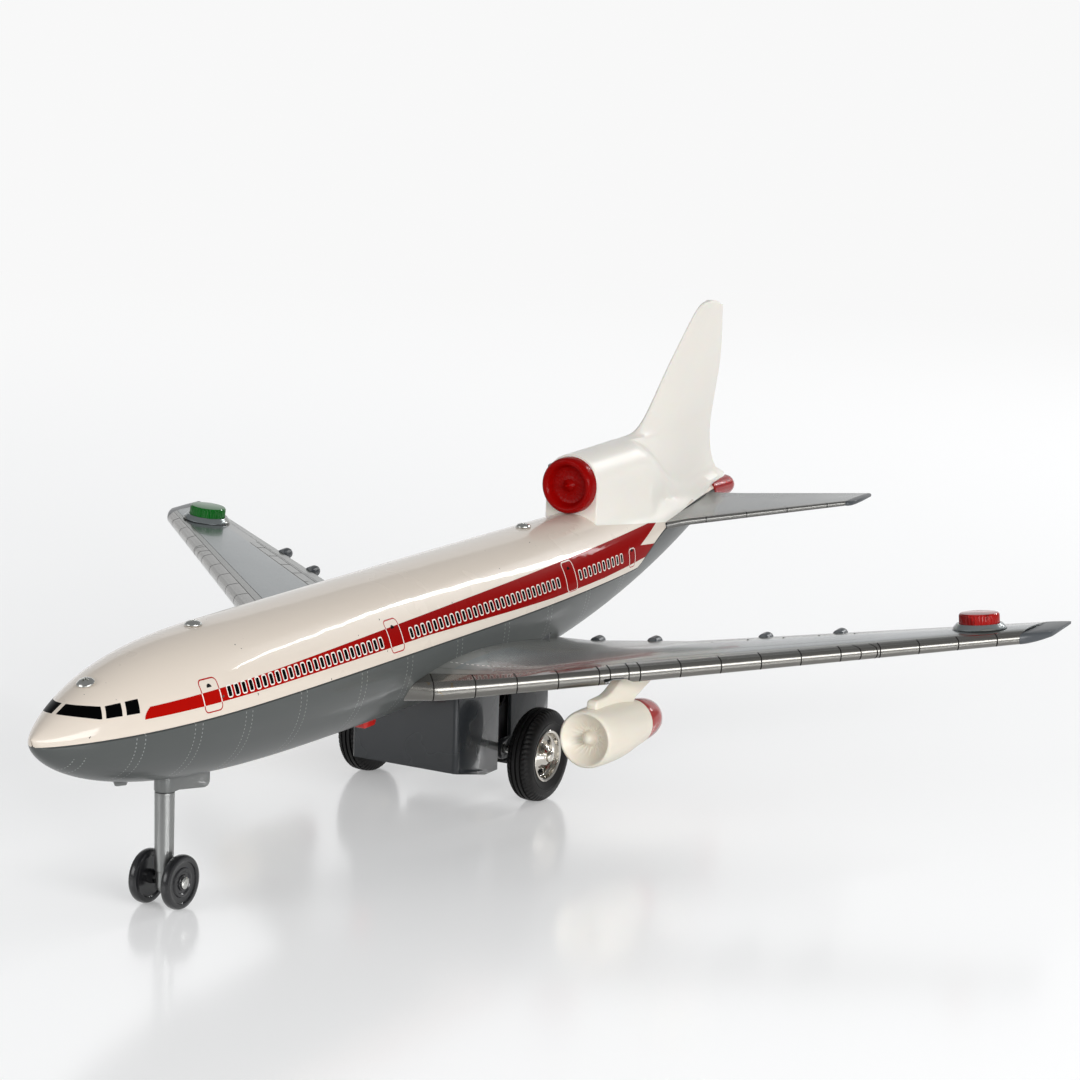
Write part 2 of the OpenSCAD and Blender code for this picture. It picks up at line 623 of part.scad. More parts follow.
// One of the two blocks, from its outer end to the gap for the axle
module housing_block(outer_y, gap_y) {
    intersection() {
        translate([0, outer_y, 0]) mirror([0, outer_y > gap_y ? 1 : 0, 0])
            linear_extrude(100) block_plan(abs(gap_y - outer_y));
        along_x_yz(-40, 80) polygon([
            [housing_y0 - 1, low_z(housing_y0)], [axle_y - slope, deep_low], [axle_y + slope, deep_low],
            [housing_y1 + 1, low_z(housing_y1)], [housing_y1 + 1, box_top], [housing_y0 - 1, box_top]]);
    }
}

chamber_back_y = gap_y0 - 6.5;
door_y0 = housing_y0 + wall + 1.5;
door_y1 = chamber_back_y - 0.5;
door_t = 1.6;
door_x = box_x - side_wall - 0.4;
hinge_z = low_z(door_y0) + 1.4;
hinge_r = 1.2;
pin_r = 0.8;

module battery_box() {
    color("dimgray") difference() {
        housing_block(housing_y0, gap_y0);
        // chamber for the cells, open below
        translate([-box_x + side_wall, housing_y0 + wall, 0])
            cube([2 * (box_x - side_wall), chamber_back_y - housing_y0 - wall, box_top - wall]);
        // room for the gears between two side flanges
        translate([-box_x + side_wall, chamber_back_y + wall, 0]) cube([2 * (box_x - side_wall), 10, box_top + 1]);
        // chamfer that lets the open door lean forward under the front wall
        along_x_yz(-box_x + side_wall, 2 * (box_x - side_wall)) polygon([
            [housing_y0 + wall + clear, hinge_z + 0.3], [housing_y0 + wall - 1, hinge_z - 2],
            [housing_y0 + wall + clear, hinge_z - 2]]);
        along_x(-box_x - 1) translate([-hinge_z, door_y0, 0]) cylinder(r = pin_r + clear, h = 2 * box_x + 2);
    }
}

// Bent plate under the cells that swings down on two pins
module battery_door() {
    color("dimgray") {
        along_x_yz(-door_x, 2 * door_x) polygon([
            [door_y0, low_z(door_y0)], [axle_y - slope, deep_low], [door_y1, deep_low],
            [door_y1, deep_low + door_t], [axle_y - slope + 0.4, deep_low + door_t],
            [door_y0, low_z(door_y0) + door_t]]);
        along_x(-door_x) translate([-hinge_z, door_y0, 0]) cylinder(r = hinge_r, h = 2 * door_x);
        along_x(-box_x + 0.1) translate([-hinge_z, door_y0, 0]) cylinder(r = pin_r, h = 2 * box_x - 0.2);
        // finger lip
        along_x_yz(-6, 12) polygon([
            [door_y1 - 3, deep_low], [door_y1 - 0.6, deep_low], [door_y1 - 1, deep_low - 1.2],
            [door_y1 - 2, deep_low - 1.2]]);
    }
}

cell_y = (housing_y0 + wall + chamber_back_y) / 2;
cell_zs = [box_top - wall - cell_d / 2 - 1.1 - cell_d - 0.4, box_top - wall - cell_d / 2 - 1.1];
contact_t = 0.4;
contact_x = box_x - side_wall - contact_t;

module battery_cells() {
    color("goldenrod") for (i = [0, 1]) mirror([i, 0, 0])
        along_x(-cell_len / 2) translate([-cell_zs[i], cell_y, 0]) rotate_extrude() polygon([
            [0, 0], [cell_d / 2 - 0.6, 0], [cell_d / 2, 0.6], [cell_d / 2, cell_len - 2.4],
            [cell_d / 2 - 0.6, cell_len - 1.8], [3.2, cell_len - 1.8], [3, cell_len], [0, cell_len]]);
}

module battery_contacts() {
    color("lightgray") {
        translate([contact_x, cell_y - 5, cell_zs[0] - 8]) cube([contact_t, 10, cell_zs[1] - cell_zs[0] + 16]);
        for (z = cell_zs) translate([-contact_x - contact_t, cell_y - 5, z - 8]) cube([contact_t, 10, 16]);
        along_x(-contact_x) translate([-cell_zs[0], cell_y, 0]) coil_spring();
        along_x(contact_x) mirror([0, 0, 1]) translate([-cell_zs[1], cell_y, 0]) coil_spring();
    }
}

// Conical contact spring squeezed nearly flat
module coil_spring() {
    h = contact_x - cell_len / 2;
    rotate_extrude() polygon([[4.6, 0], [6, 0], [4.6, h], [3.2, h]]);
}

gear_wall_y = housing_y1 - wall;

// Housing for the motor and gears, open towards the axle, with an ear each side of it
module gear_housing() {
    color("dimgray") difference() {
        union() {
            housing_block(housing_y1, gap_y1);
            for (x = [-box_x, box_x - wall]) along_x(x) translate([-axle_z, axle_y, 0]) cylinder(r = 5, h = wall);
            for (x = [-box_x, box_x - wall]) translate([x, axle_y, axle_z - 5]) cube([wall, 6, 10]);
        }
        along_x_yz(-box_x + wall, 2 * (box_x - wall)) polygon([
            [axle_y - 6, deep_low - 1], [gap_y1, deep_low - 1], [gap_y1, deep_low + wall],
            [axle_y + slope, deep_low + wall], [gear_wall_y, low_z(gear_wall_y) + wall],
            [gear_wall_y, box_top - wall], [axle_y - 6, box_top - wall]]);
        along_x(-box_x - 1) translate([-axle_z, axle_y, 0]) cylinder(r = axle_r + clear, h = 2 * box_x + 2);
        // the axle gear dips into the floor
        along_x(axle_gear_x - 0.6) translate([-axle_z, axle_y, 0])
            cylinder(r = (axle_teeth / 2 + 1) * coarse + 0.4, h = axle_gear_w + 1.2);
    }
}

// Gear train on axes along X
axle_r = 2;
fine = 0.6;
coarse = 0.8;
pin_axis = [axle_y + 10.25, axle_z + 10.12];
motor_axis = [axle_y + 24, axle_z + 9];
motor_x0 = -22;
plate_x = 8.2;
plate_t = 1;
far_plate_x = 21;
big_x = 9.7;
big_w = 3.3;
small_x = 14.3;
small_w = 5.8;
axle_gear_x = 14.8;
axle_gear_w = 4.8;
gear_pin_r = 1;
backlash = 0.12;

// Involute angle at a radius, in degrees
function inv_deg(base, r) = let (t = sqrt(max(0, pow(r / base, 2) - 1))) t * 180 / PI - atan(t);

// Outline of a spur gear, one tooth on the first axis
function gear_points(teeth, module_size, flanks = 4) =
    let (rp = teeth * module_size / 2, base = rp * cos(20), tip = rp + module_size * 0.95,
         root = rp - module_size * 1.25, start = max(base, root + 0.05),
         half = 90 / teeth + inv_deg(base, rp) - backlash / rp * 90 / PI)
    [for (k = [0:teeth - 1]) let (m = 360 * k / teeth) each concat(
        [[root, m - half - 0.5]],
        [for (i = [0:flanks]) let (r = mix(start, tip, i / flanks)) [r, m - half + inv_deg(base, r)]],
        [for (i = [flanks:-1:0]) let (r = mix(start, tip, i / flanks)) [r, m + half - inv_deg(base, r)]],
        [[root, m + half + 0.5]])];

// Gear standing along X, turned so that its tooth, or its gap, points along a direction
module spur(teeth, module_size, x, width, aim, gap) {
    turn = aim + (gap ? 180 / teeth : 0);
    along_x_yz(x, width) rotate([0, 0, turn]) polygon([for (p = gear_points(teeth, module_size))
        [p.x * cos(p.y), p.x * sin(p.y)]]);
}
function direction(a, b) = atan2(b.y - a.y, b.x - a.x);
module at_axis(axis) { translate([0, axis.x, axis.y]) children(); }

module gear_frame() {
    color("lightgray") difference() {
        union() {
            for (x = [plate_x, far_plate_x]) along_x_yz(x, plate_t) polygon([
                [axle_y - 4, axle_z - 5], [axle_y + 6, deep_low + wall + 0.5], [axle_y + slope, deep_low + wall + 0.5],
                [gear_wall_y, low_z(gear_wall_y) + wall + 0.5], [gear_wall_y, 47], [axle_y + 12, 47],
                [axle_y - 4, axle_z + 5]]);
            for (p = [[axle_y + 33, 26], [axle_y + 33, 43], [axle_y + 12.5, 45.2]])
                at_axis(p) along_x(plate_x) cylinder(r = 1.4, h = far_plate_x - plate_x + plate_t, $fn = 24);
        }
        at_axis([axle_y, axle_z]) along_x(0) cylinder(r = axle_r + 0.3, h = 40);
        at_axis(pin_axis) along_x(0) cylinder(r = gear_pin_r, h = 40);
        at_axis(motor_axis) along_x(0) cylinder(r = 2.5, h = 15);
    }
}

module gear_pin() {
    color("silver") at_axis(pin_axis) along_x(plate_x) cylinder(r = gear_pin_r, h = far_plate_x + plate_t - plate_x);
}

// Motor can with two flats, a nose that locates it in the plate and a bore for its shaft
module motor() {
    color("silver") at_axis(motor_axis) difference() {
        union() {
            intersection() {
                along_x(motor_x0) cylinder(r = 12, h = plate_x - motor_x0);
                translate([motor_x0, -12, -9]) cube([plate_x - motor_x0, 24, 18]);
            }
            along_x(plate_x - 1) cylinder(r = 2.5, h = 1 + plate_t);
            along_x(motor_x0 - 2) cylinder(r = 4, h = 3);
        }
        along_x(plate_x - 8) cylinder(r = gear_pin_r + clear, h = 10);
        for (y = [-6, 6]) along_x(motor_x0 - 3) translate([0, y, 0]) cylinder(r = 1, h = 4, $fn = 16);
    }
}

module motor_pinion() {
    color("gold") at_axis(motor_axis) {
        along_x(plate_x - 7) cylinder(r = gear_pin_r, h = 13);
        spur(pinion_teeth, fine, big_x, big_w, direction(motor_axis, pin_axis), true);
    }
}

module compound_gear() {
    color("ivory") at_axis(pin_axis) difference() {
        union() {
            spur(large_teeth, fine, big_x, big_w, direction(pin_axis, motor_axis), false);
            along_x(big_x) cylinder(r = 3, h = small_x - big_x);
            spur(small_teeth, coarse, small_x, small_w, direction(pin_axis, [axle_y, axle_z]), false);
        }
        along_x(big_x - 1) cylinder(r = gear_pin_r + clear, h = 20);
    }
}

module axle_gear() {
    color("ivory") at_axis([axle_y, axle_z]) difference() {
        spur(axle_teeth, coarse, axle_gear_x, axle_gear_w, direction([axle_y, axle_z], pin_axis), true);
        along_x(axle_gear_x - 1) cylinder(r = axle_r, h = 10);
    }
}

// Main wheels
hub_r = 13;
bead_r = 11.8;
module main_axle() {
    color("silver") at_axis([axle_y, axle_z]) along_x(-track / 2 - 4) cylinder(r = axle_r, h = track + 8);
}

module tyre() {
    r = wheel_d / 2;
    w = wheel_w / 2;
    at_axis([axle_y, axle_z]) along_x(track / 2) rotate_extrude($fn = 96) polygon([
        [bead_r, -w + 1.2], [bead_r + 1.2, -w + 0.7], [r - 6, -w + 0.1], [r - 4.5, -w], [r - 2.5, -w + 0.5],
        [r - 1, -w + 1.4], [r - 0.3, -w + 2.5], [r - 0.1, -2.6], [r - 0.8, -2.5], [r - 0.8, -1.9], [r, -1.8],
        [r, -0.4], [r - 0.7, -0.3], [r - 0.7, 0.3], [r, 0.4], [r, 1.8], [r - 0.8, 1.9], [r - 0.8, 2.5],
        [r - 0.1, 2.6], [r - 0.3, w - 2.5], [r - 1, w - 1.4], [r - 2.5, w - 0.5], [r - 4.5, w], [r - 6, w - 0.1],
        [bead_r + 1.2, w - 0.7], [bead_r, w - 1.2], [bead_r, w - 1.6], [hub_r, w - 1.6], [hub_r, -w + 1.6],
        [bead_r, -w + 1.6]]);
}

// Pressed wheel with five slots, a dome and a knob
module hub() {
    w = wheel_w / 2;
    at_axis([axle_y, axle_z]) along_x(track / 2) difference() {
        rotate_extrude($fn = 96) polygon([
            [axle_r, -w + 1.6], [4, -w + 1.6], [4, 0.6], [6, 0.2], [10.2, 0.2], [10.8, -w + 1.6], [hub_r, -w + 1.6],
            [hub_r, w - 1.6], [bead_r - 0.1, w - 1.6], [bead_r - 0.1, w - 0.9], [11.2, w - 0.6], [10.4, w - 1],
            [9.9, 2.6], [9.3, 2], [6.2, 2.2], [5.2, 3.2], [4.2, 4.6], [2.7, 5.4], [2.6, 6.4], [2, 7.1], [1, 7.4],
            [0, 7.5], [0, 4.2], [axle_r, 4.2]]);
        for (a = [0:72:288]) rotate([0, 0, a]) translate([0, 0, -1]) linear_extrude(6) slot_plan();
    }
}

module slot_plan() {
    inner = 6.4;
    outer = 9.2;
    mid = (inner + outer) / 2;
    intersection() {
        difference() { circle(r = outer); circle(r = inner); }
        polygon([[0, 0], [20, -6.4], [20, 6.4]]);
    }
    for (a = [-17, 17]) rotate([0, 0, a]) translate([mid, 0]) circle(r = (outer - inner) / 2, $fn = 24);
}

module tyre_port() { color("black") tyre(); }
module tyre_starboard() { color("black") starboard() tyre(); }
module hub_port() { color("silver") hub(); }
module hub_starboard() { color("silver") starboard() hub(); }

// Nose leg, held in a bracket through the belly
bracket_r = 4.2;
bracket_z = 46.8;
bracket_top = 58;
bracket_end_y = leg_y + 25;
journal_r = 2.5;
shoulder_z = bracket_z - 0.2;
nose_axle_z = nose_wheel_d / 2;
nose_axle_r = 1.25;
nose_wheel_x = 7.75;
clip_z = bracket_top + 0.1;

module nose_bracket() {
    color("gray") difference() {
        union() {
            translate([0, leg_y, bracket_z]) cylinder(r = bracket_r, h = bracket_top - bracket_z);
            along_x_yz(-bracket_r, 2 * bracket_r) polygon([
                [leg_y, bracket_z], [leg_y + 4.6, bracket_z], [bracket_end_y - 3.4, bracket_z - 2.8],
                [bracket_end_y - 1.4, bracket_z - 2.5], [bracket_end_y - 0.3, bracket_z - 1.5],
                [bracket_end_y, bracket_z], [bracket_end_y, bracket_top], [leg_y, bracket_top]]);
        }
        translate([0, leg_y, 0]) cylinder(r = journal_r + clear, h = 100);
    }
}

module nose_leg() {
    r = leg_d / 2;
    color("gray") difference() {
        translate([0, leg_y, 0]) rotate_extrude() polygon([
            [0, 6], [1.6, 6], [2.8, 6.7], [r - 0.6, 8.2], [r - 0.5, 14.2], [r - 0.2, 14.6], [r, shoulder_z],
            [journal_r, shoulder_z], [journal_r, clip_z], [journal_r - 0.5, clip_z],
            [journal_r - 0.5, clip_z + 1], [journal_r, clip_z + 1], [journal_r - 0.3, clip_z + 2.4], [0, clip_z + 2.4]]);
        translate([0, leg_y, nose_axle_z]) along_x(-10) cylinder(r = nose_axle_r, h = 20);
    }
}

// Spring clip in the groove at the top of the leg
module leg_clip() {
    color("silver") translate([0, leg_y, clip_z + 0.05]) difference() {
        cylinder(r = 4.6, h = 0.9);
        translate([0, 0, -1]) cylinder(r = journal_r - 0.5, h = 3);
        translate([0, -1.6, -1]) cube([6, 3.2, 3]);
    }
}

module nose_axle() {
    end = nose_wheel_x + nose_wheel_w / 2 + 0.15;
    color("silver") translate([0, leg_y, nose_axle_z]) {
        along_x(-end) cylinder(r = nose_axle_r, h = 2 * end);
        for (m = [0, 1]) mirror([m, 0, 0]) along_x(end) rotate_extrude() polygon([
            [0, 0], [2.5, 0], [2.4, 0.5], [1.6, 0.9], [0, 1.05]]);
    }
}

module nose_wheel() {
    r = nose_wheel_d / 2;
    w = nose_wheel_w / 2;
    bore = nose_axle_r + clear;
    translate([0, leg_y, nose_axle_z]) along_x(nose_wheel_x) rotate_extrude($fn = 72) polygon([
        [bore, -w - 1.8], [2.6, -w - 1.8], [3, -w + 0.6], [r - 3, -w + 0.6], [r - 2.4, -w], [r - 1, -w],
        [r - 0.2, -w + 0.7], [r, 0], [r - 0.2, w - 0.7], [r - 1, w], [r - 2.4, w], [r - 3, w - 0.7],
        [r - 5, w - 0.9], [r - 5.6, w - 0.3], [r - 6.4, w - 0.3], [r - 6.9, w - 0.8], [3.2, w - 0.6], [3, w], [bore, w]]);
}

module nose_wheel_port() { color("black") nose_wheel(); }
module nose_wheel_starboard() { color("black") starboard() nose_wheel(); }

// Slide switch in the belly
switch_y = -62.5;
switch_travel = 5;
neck_len = 5;
neck_w = 2.6;
slot_w = 3.2;
knob_z = body_z - body_r - 0.3;
body_low = body_z - body_r + tin + 0.4;

module switch_knob() {
    color("red") {
        along_x_yz(-3, 6) polygon([
            [switch_y - 5, knob_z], [switch_y - 5, knob_z - 2.6], [switch_y - 4, knob_z - 4.2],
            [switch_y + 4, knob_z - 4.2], [switch_y + 5, knob_z - 2.6], [switch_y + 5, knob_z]]);
        translate([-neck_w / 2, switch_y - neck_len / 2, knob_z - 1]) cube([neck_w, neck_len, 8]);
    }
}

module switch_body() {
    travel = neck_len + switch_travel;
    color("tan") difference() {
        translate([-5, switch_y - 7, body_low]) cube([10, travel + 9, 9]);
        translate([-slot_w / 2, switch_y - neck_len / 2 - 0.3, body_low - 1]) cube([slot_w, travel + 0.6, 8.5]);
    }
}

// Small folded tab under the nose
module belly_tab() {
    y0 = nose_y + 50.3;
    color("gray") along_x_yz(-0.6, 1.2) polygon([
        [y0, keel_z(y0) - 0.05], [y0 + 1.2, keel_z(y0) - 2.2], [y0 + 7, keel_z(y0 + 8) - 1.4],
        [y0 + 8.2, keel_z(y0 + 8.2) - 0.05], [y0 + 4, keel_z(y0 + 4) - 0.05]]);
}

fuselage_upper();
fuselage_lower();
roof_screws();
screw_posts();
wing_top_port();
wing_top_starboard();
wing_bottom_port();
wing_bottom_starboard();
wing_tip_port();
wing_tip_starboard();
flap_fairings_port();
flap_fairings_starboard();
lamp_seat_port();
lamp_seat_starboard();
lamp_lens_port();
lamp_lens_starboard();
lamp_bulb_port();
lamp_bulb_starboard();
stabiliser_port();
stabiliser_starboard();
stabiliser_tip_port();
stabiliser_tip_starboard();
tail_moulding();
centre_inlet();
tail_lamp();
tail_bulb();
engine_port();
engine_starboard();
engine_cone_port();
engine_cone_starboard();
battery_box();
battery_door();
battery_cells();
battery_contacts();
gear_housing();
gear_frame();
motor();
motor_pinion();
compound_gear();
gear_pin();
axle_gear();
main_axle();
tyre_port();
tyre_starboard();
hub_port();
hub_starboard();
nose_bracket();
nose_leg();
leg_clip();
nose_axle();
nose_wheel_port();
nose_wheel_starboard();
switch_knob();
switch_body();
belly_tab();
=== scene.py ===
# %% [markdown]
# # Battery toy airliner
#
# A pressed tin airliner of the kind that rolls over the floor with its lamps on: two litho-printed
# tin halves make the fuselage, the wings are folded tin, and the tail, the engines and the running
# gear are plastic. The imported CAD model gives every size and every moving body. This notebook builds
# the smooth skins round it, prints them, and lights the result like a studio photograph.

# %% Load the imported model
import math

import bmesh
import bpy
from mathutils import Matrix, Vector


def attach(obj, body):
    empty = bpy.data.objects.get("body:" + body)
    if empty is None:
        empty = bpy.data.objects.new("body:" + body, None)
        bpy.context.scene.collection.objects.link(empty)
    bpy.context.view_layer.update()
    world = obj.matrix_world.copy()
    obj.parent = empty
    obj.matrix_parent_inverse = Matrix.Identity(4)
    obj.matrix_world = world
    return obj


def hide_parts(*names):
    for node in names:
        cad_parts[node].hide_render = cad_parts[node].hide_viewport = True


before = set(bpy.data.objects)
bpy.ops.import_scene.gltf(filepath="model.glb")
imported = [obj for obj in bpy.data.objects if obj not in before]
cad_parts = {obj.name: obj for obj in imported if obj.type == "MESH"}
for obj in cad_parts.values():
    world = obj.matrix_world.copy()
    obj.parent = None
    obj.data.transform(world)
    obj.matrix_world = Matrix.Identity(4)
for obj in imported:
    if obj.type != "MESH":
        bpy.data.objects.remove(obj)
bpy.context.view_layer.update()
MM = 0.001

# %% [markdown]
# ## Lesson 1: the formulas of the body
#
# The fuselage is a round tube all along. Its roof and its keel are two curves seen from the side, and
# at every station the section is the circle between them. Keeping the same two formulas as the CAD
# source means that the smooth skins follow the CAD shells that they stand for.

# %% Fuselage curves, in millimetres
NOSE, TAIL = -290.5, 265.5


def roof_z(y):
    t, f = min(1, (y - NOSE) / 129), max(0, (y - 93.5) / 172)
    return 85 + 25.5 * (1 - (1 - t) ** 3) - 5 * f * f


def keel_z(y):
    t, f = min(1, max(0, (y - NOSE) / 260)), max(0, (y - 0.5) / 265)
    return 85 - 37.5 * (1 - (1 - t) ** 4) ** 0.595 + 48.5 * f ** 1.74


def half(y):
    return (roof_z(y) - keel_z(y)) / 2


def mid(y):
    return (roof_z(y) + keel_z(y)) / 2


def side_x(y, z):
    return math.sqrt(max(0, half(y) ** 2 - (z - mid(y)) ** 2))


def seam_z(y):
    return 81.7 if y < 149.5 else 81.7 + 22 * (1 - math.exp((149.5 - y) / 38))


def seam_angle(y):
    return math.asin(max(-0.999, min(0.95, (seam_z(y) - mid(y)) / half(y))))


def mix(a, b, t):
    return a + (b - a) * t


def ease(t):
    t = max(0, min(1, t))
    return t * t * (3 - 2 * t)


print("fuselage is", round(2 * half(0), 1), "mm across")

# %% [markdown]
# ## Lesson 2: a few ways to make a skin
#
# Sheet metal starts flat, so a flat grid is the right start for it here too: the grid is pressed onto
# a formula, and then it gets its wall. Turned parts come from an outline that is spun round its axis.
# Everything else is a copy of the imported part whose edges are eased, because a real edge always
# catches a thin line of light.

# %% Shapes from operators


def pressed(nu, nv, place):
    """A flat grid of nu by nv faces, pressed to place(i, j) in millimetres."""
    bm = bmesh.new()
    bmesh.ops.create_grid(bm, x_segments=nu, y_segments=nv, size=0.5)
    for v in bm.verts:
        v.co = Vector(place(round((v.co.x + 0.5) * nu), round((v.co.y + 0.5) * nv))) * MM
    return bm


def outward(bm, inside):
    """Merges doubles and turns the faces away from a point inside, in millimetres."""
    bmesh.ops.remove_doubles(bm, verts=bm.verts, dist=2e-6)
    bmesh.ops.recalc_face_normals(bm, faces=bm.faces)
    bm.normal_update()
    inner = Vector(inside) * MM
    if sum((f.calc_center_median() - inner).dot(f.normal) * f.calc_area() for f in bm.faces) < 0:
        bmesh.ops.reverse_faces(bm, faces=bm.faces)
    return bm


def wall(bm, thickness):
    bmesh.ops.solidify(bm, geom=bm.faces[:], thickness=thickness * MM)
    return bm


def close_ends(bm):
    bmesh.ops.holes_fill(bm, edges=[e for e in bm.edges if e.is_boundary], sides=0)
    return bm


def spun(outline, steps=96):
    """Outline of (radius, height) in millimetres, spun round Z."""
    bm = bmesh.new()
    verts = [bm.verts.new((r * MM, 0, h * MM)) for r, h in outline]
    edges = [bm.edges.new(pair) for pair in zip(verts, verts[1:])]
    bmesh.ops.spin(bm, geom=verts + edges, cent=(0, 0, 0), axis=(0, 0, 1), angle=2 * math.pi,
                   steps=steps, use_merge=True)
    bmesh.ops.remove_doubles(bm, verts=bm.verts, dist=1e-6)
    bmesh.ops.recalc_face_normals(bm, faces=bm.faces)
    return bm


def moved(bm, matrix):
    bmesh.ops.transform(bm, matrix=matrix, verts=bm.verts)
    return bm


def at(x, y, z):
    return Matrix.Translation(Vector((x, y, z)) * MM)


ALONG_X = Matrix.Rotation(math.pi / 2, 4, "Y")
ALONG_Y = Matrix.Rotation(-math.pi / 2, 4, "X")
made = []


def piece(name, bm, material, body, nodes=(), sharp=32):
    mesh = bpy.data.meshes.new(name)
    bm.to_mesh(mesh)
    bm.free()
    mesh.shade_smooth()
    mesh.set_sharp_from_angle(angle=math.radians(sharp))
    obj = bpy.data.objects.new(name, mesh)
    bpy.context.scene.collection.objects.link(obj)
    mesh.materials.append(material)
    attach(obj, body)
    if nodes:
        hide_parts(*nodes)
    made.append(name)


def mirrored(bm):
    other = bm.copy()
    bmesh.ops.transform(other, matrix=Matrix.Scale(-1, 4, (1, 0, 0)), verts=other.verts)
    bmesh.ops.reverse_faces(other, faces=other.faces)
    return other


def both_sides(name, bm, material, body, slot, *nodes, sharp=32):
    """The port piece and its mirror image; each stands for its own side's nodes."""
    other = mirrored(bm)
    body = body if isinstance(body, tuple) else (body, body)
    piece(name + "_skin_port", bm, material, body[0], [n + "_port" for n in nodes], sharp)
    piece(name + "_skin_starboard", other, material, body[1], [n + "_starboard" for n in nodes], sharp)


def eased(node, material, body, width):
    """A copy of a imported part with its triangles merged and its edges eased."""
    bm = bmesh.new()
    bm.from_mesh(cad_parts[node].data)
    bmesh.ops.remove_doubles(bm, verts=bm.verts, dist=2e-6)
    bmesh.ops.dissolve_limit(bm, angle_limit=math.radians(0.6), verts=bm.verts, edges=bm.edges)
    bmesh.ops.recalc_face_normals(bm, faces=bm.faces)
    edges = [e for e in bm.edges if e.is_manifold and e.calc_face_angle() > math.radians(35)]
    bmesh.ops.bevel(bm, geom=edges, offset=width * MM, segments=2, profile=0.5, affect="EDGES",
                    material=-1, clamp_overlap=True)
    piece(node + "_eased", bm, material, body, [node], sharp=40)


def dressed(nodes, material):
    """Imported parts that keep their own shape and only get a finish."""
    for node in nodes:
        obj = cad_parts[node]
        obj.data.materials.clear()
        obj.data.materials.append(material)


# %% [markdown]
# ## Lesson 3: finishes
#
# Tin toys are printed flat, varnished, and pressed afterwards, so the print follows the metal and a
# clear glossy coat lies over all of it. A print is a set of simple shapes, and each one can be written
# as a formula of the place on the part. The small class below turns such formulas into nodes.

# %% Numbers inside a material


class Num:
    """A number in a material; + - * / and the methods add Math nodes."""

    def __init__(self, tree, socket):
        self.tree, self.socket = tree, socket

    def math(self, op, *others):
        node = self.tree.nodes.new("ShaderNodeMath")
        node.operation = op
        for slot, value in zip(node.inputs, (self, *others)):
            if isinstance(value, Num):
                self.tree.links.new(value.socket, slot)
            else:
                slot.default_value = value
        return Num(self.tree, node.outputs[0])

    def __add__(self, o): return self.math("ADD", o)
    def __sub__(self, o): return self.math("SUBTRACT", o)
    def __mul__(self, o): return self.math("MULTIPLY", o)
    def __truediv__(self, o): return self.math("DIVIDE", o)
    __radd__, __rmul__ = __add__, __mul__
    def __rsub__(self, o): return self * -1 + o
    def __gt__(self, o): return self.math("GREATER_THAN", o)
    def __lt__(self, o): return self.math("LESS_THAN", o)
    def abs(self): return self.math("ABSOLUTE")
    def max(self, o): return self.math("MAXIMUM", o)
    def min(self, o): return self.math("MINIMUM", o)
    def root(self): return (self.max(0)).math("SQRT")
    def near(self, o, width): return (self - o).abs() < width
    def within(self, low, high): return (self > low) * (self < high)
    def repeat(self, pitch): return (self / pitch + 0.5).math("FLOORED_MODULO", 1.0) * pitch - pitch / 2
    def out(self): return 1 - self


def either(*masks):
    total = masks[0]
    for m in masks[1:]:
        total = total.max(m)
    return total


def rounded(dx, dy, half_w, half_h, r):
    """Distance outside a rounded rectangle; negative inside it."""
    qx, qy = dx.abs() - (half_w - r), dy.abs() - (half_h - r)
    corner = qx.max(0) * qx.max(0) + qy.max(0) * qy.max(0)
    return corner.root() + qx.max(qy).min(0) - r


class Finish:
    """A Principled material whose colour is built up in printed layers."""

    def __init__(self, name, colour, rough=0.4, metal=0.0, coat=0.0, **extra):
        self.mat = bpy.data.materials.new(name)
        self.mat.use_nodes = True
        self.tree = self.mat.node_tree
        self.shader = self.tree.nodes["Principled BSDF"]
        self.colour = None
        self.set("Base Color", (*colour, 1))
        self.base = colour
        self.set("Roughness", rough)
        self.set("Metallic", metal)
        self.set("Coat Weight", coat)
        self.set("Coat Roughness", 0.045)
        for key, value in extra.items():
            self.set(key.replace("_", " "), value)

    def set(self, key, value):
        if isinstance(value, Num):
            self.tree.links.new(value.socket, self.shader.inputs[key])
        else:
            self.shader.inputs[key].default_value = value

    def node(self, kind, **inputs):
        n = self.tree.nodes.new(kind)
        for key, value in inputs.items():
            n.inputs[key.replace("_", " ")].default_value = value
        return n

    def place(self):
        """Place on the part in millimetres: x, y and z."""
        coords = self.tree.nodes.new("ShaderNodeTexCoord")
        split = self.tree.nodes.new("ShaderNodeSeparateXYZ")
        self.tree.links.new(coords.outputs["Object"], split.inputs[0])
        self.coords = coords.outputs["Object"]
        return [Num(self.tree, split.outputs[i]) * 1000 for i in range(3)]

    def noise(self, scale, detail=3, rough=0.55):
        n = self.node("ShaderNodeTexNoise", Scale=scale, Detail=detail, Roughness=rough)
        self.tree.links.new(self.coords, n.inputs["Vector"])
        return Num(self.tree, n.outputs["Fac"])

    def layer(self, mask, colour):
        """Prints colour where mask is 1."""
        blend = self.tree.nodes.new("ShaderNodeMix")
        blend.data_type = "RGBA"
        self.tree.links.new(mask.socket, blend.inputs["Factor"])
        under, over = [s for s in blend.inputs if s.type == "RGBA"]
        over.default_value = (*colour, 1)
        if self.colour is None:
            under.default_value = (*self.base, 1)
        else:
            self.tree.links.new(self.colour, under)
        self.colour = [s for s in blend.outputs if s.type == "RGBA"][0]
        self.tree.links.new(self.colour, self.shader.inputs["Base Color"])

    def bump(self, height, depth):
        """Raises the surface by height times depth, in millimetres."""
        n = self.node("ShaderNodeBump", Distance=depth * MM, Strength=1.0)
        self.tree.links.new(height.socket, n.inputs["Height"])
        for key in ("Normal", "Coat Normal"):
            self.tree.links.new(n.outputs[0], self.shader.inputs[key])


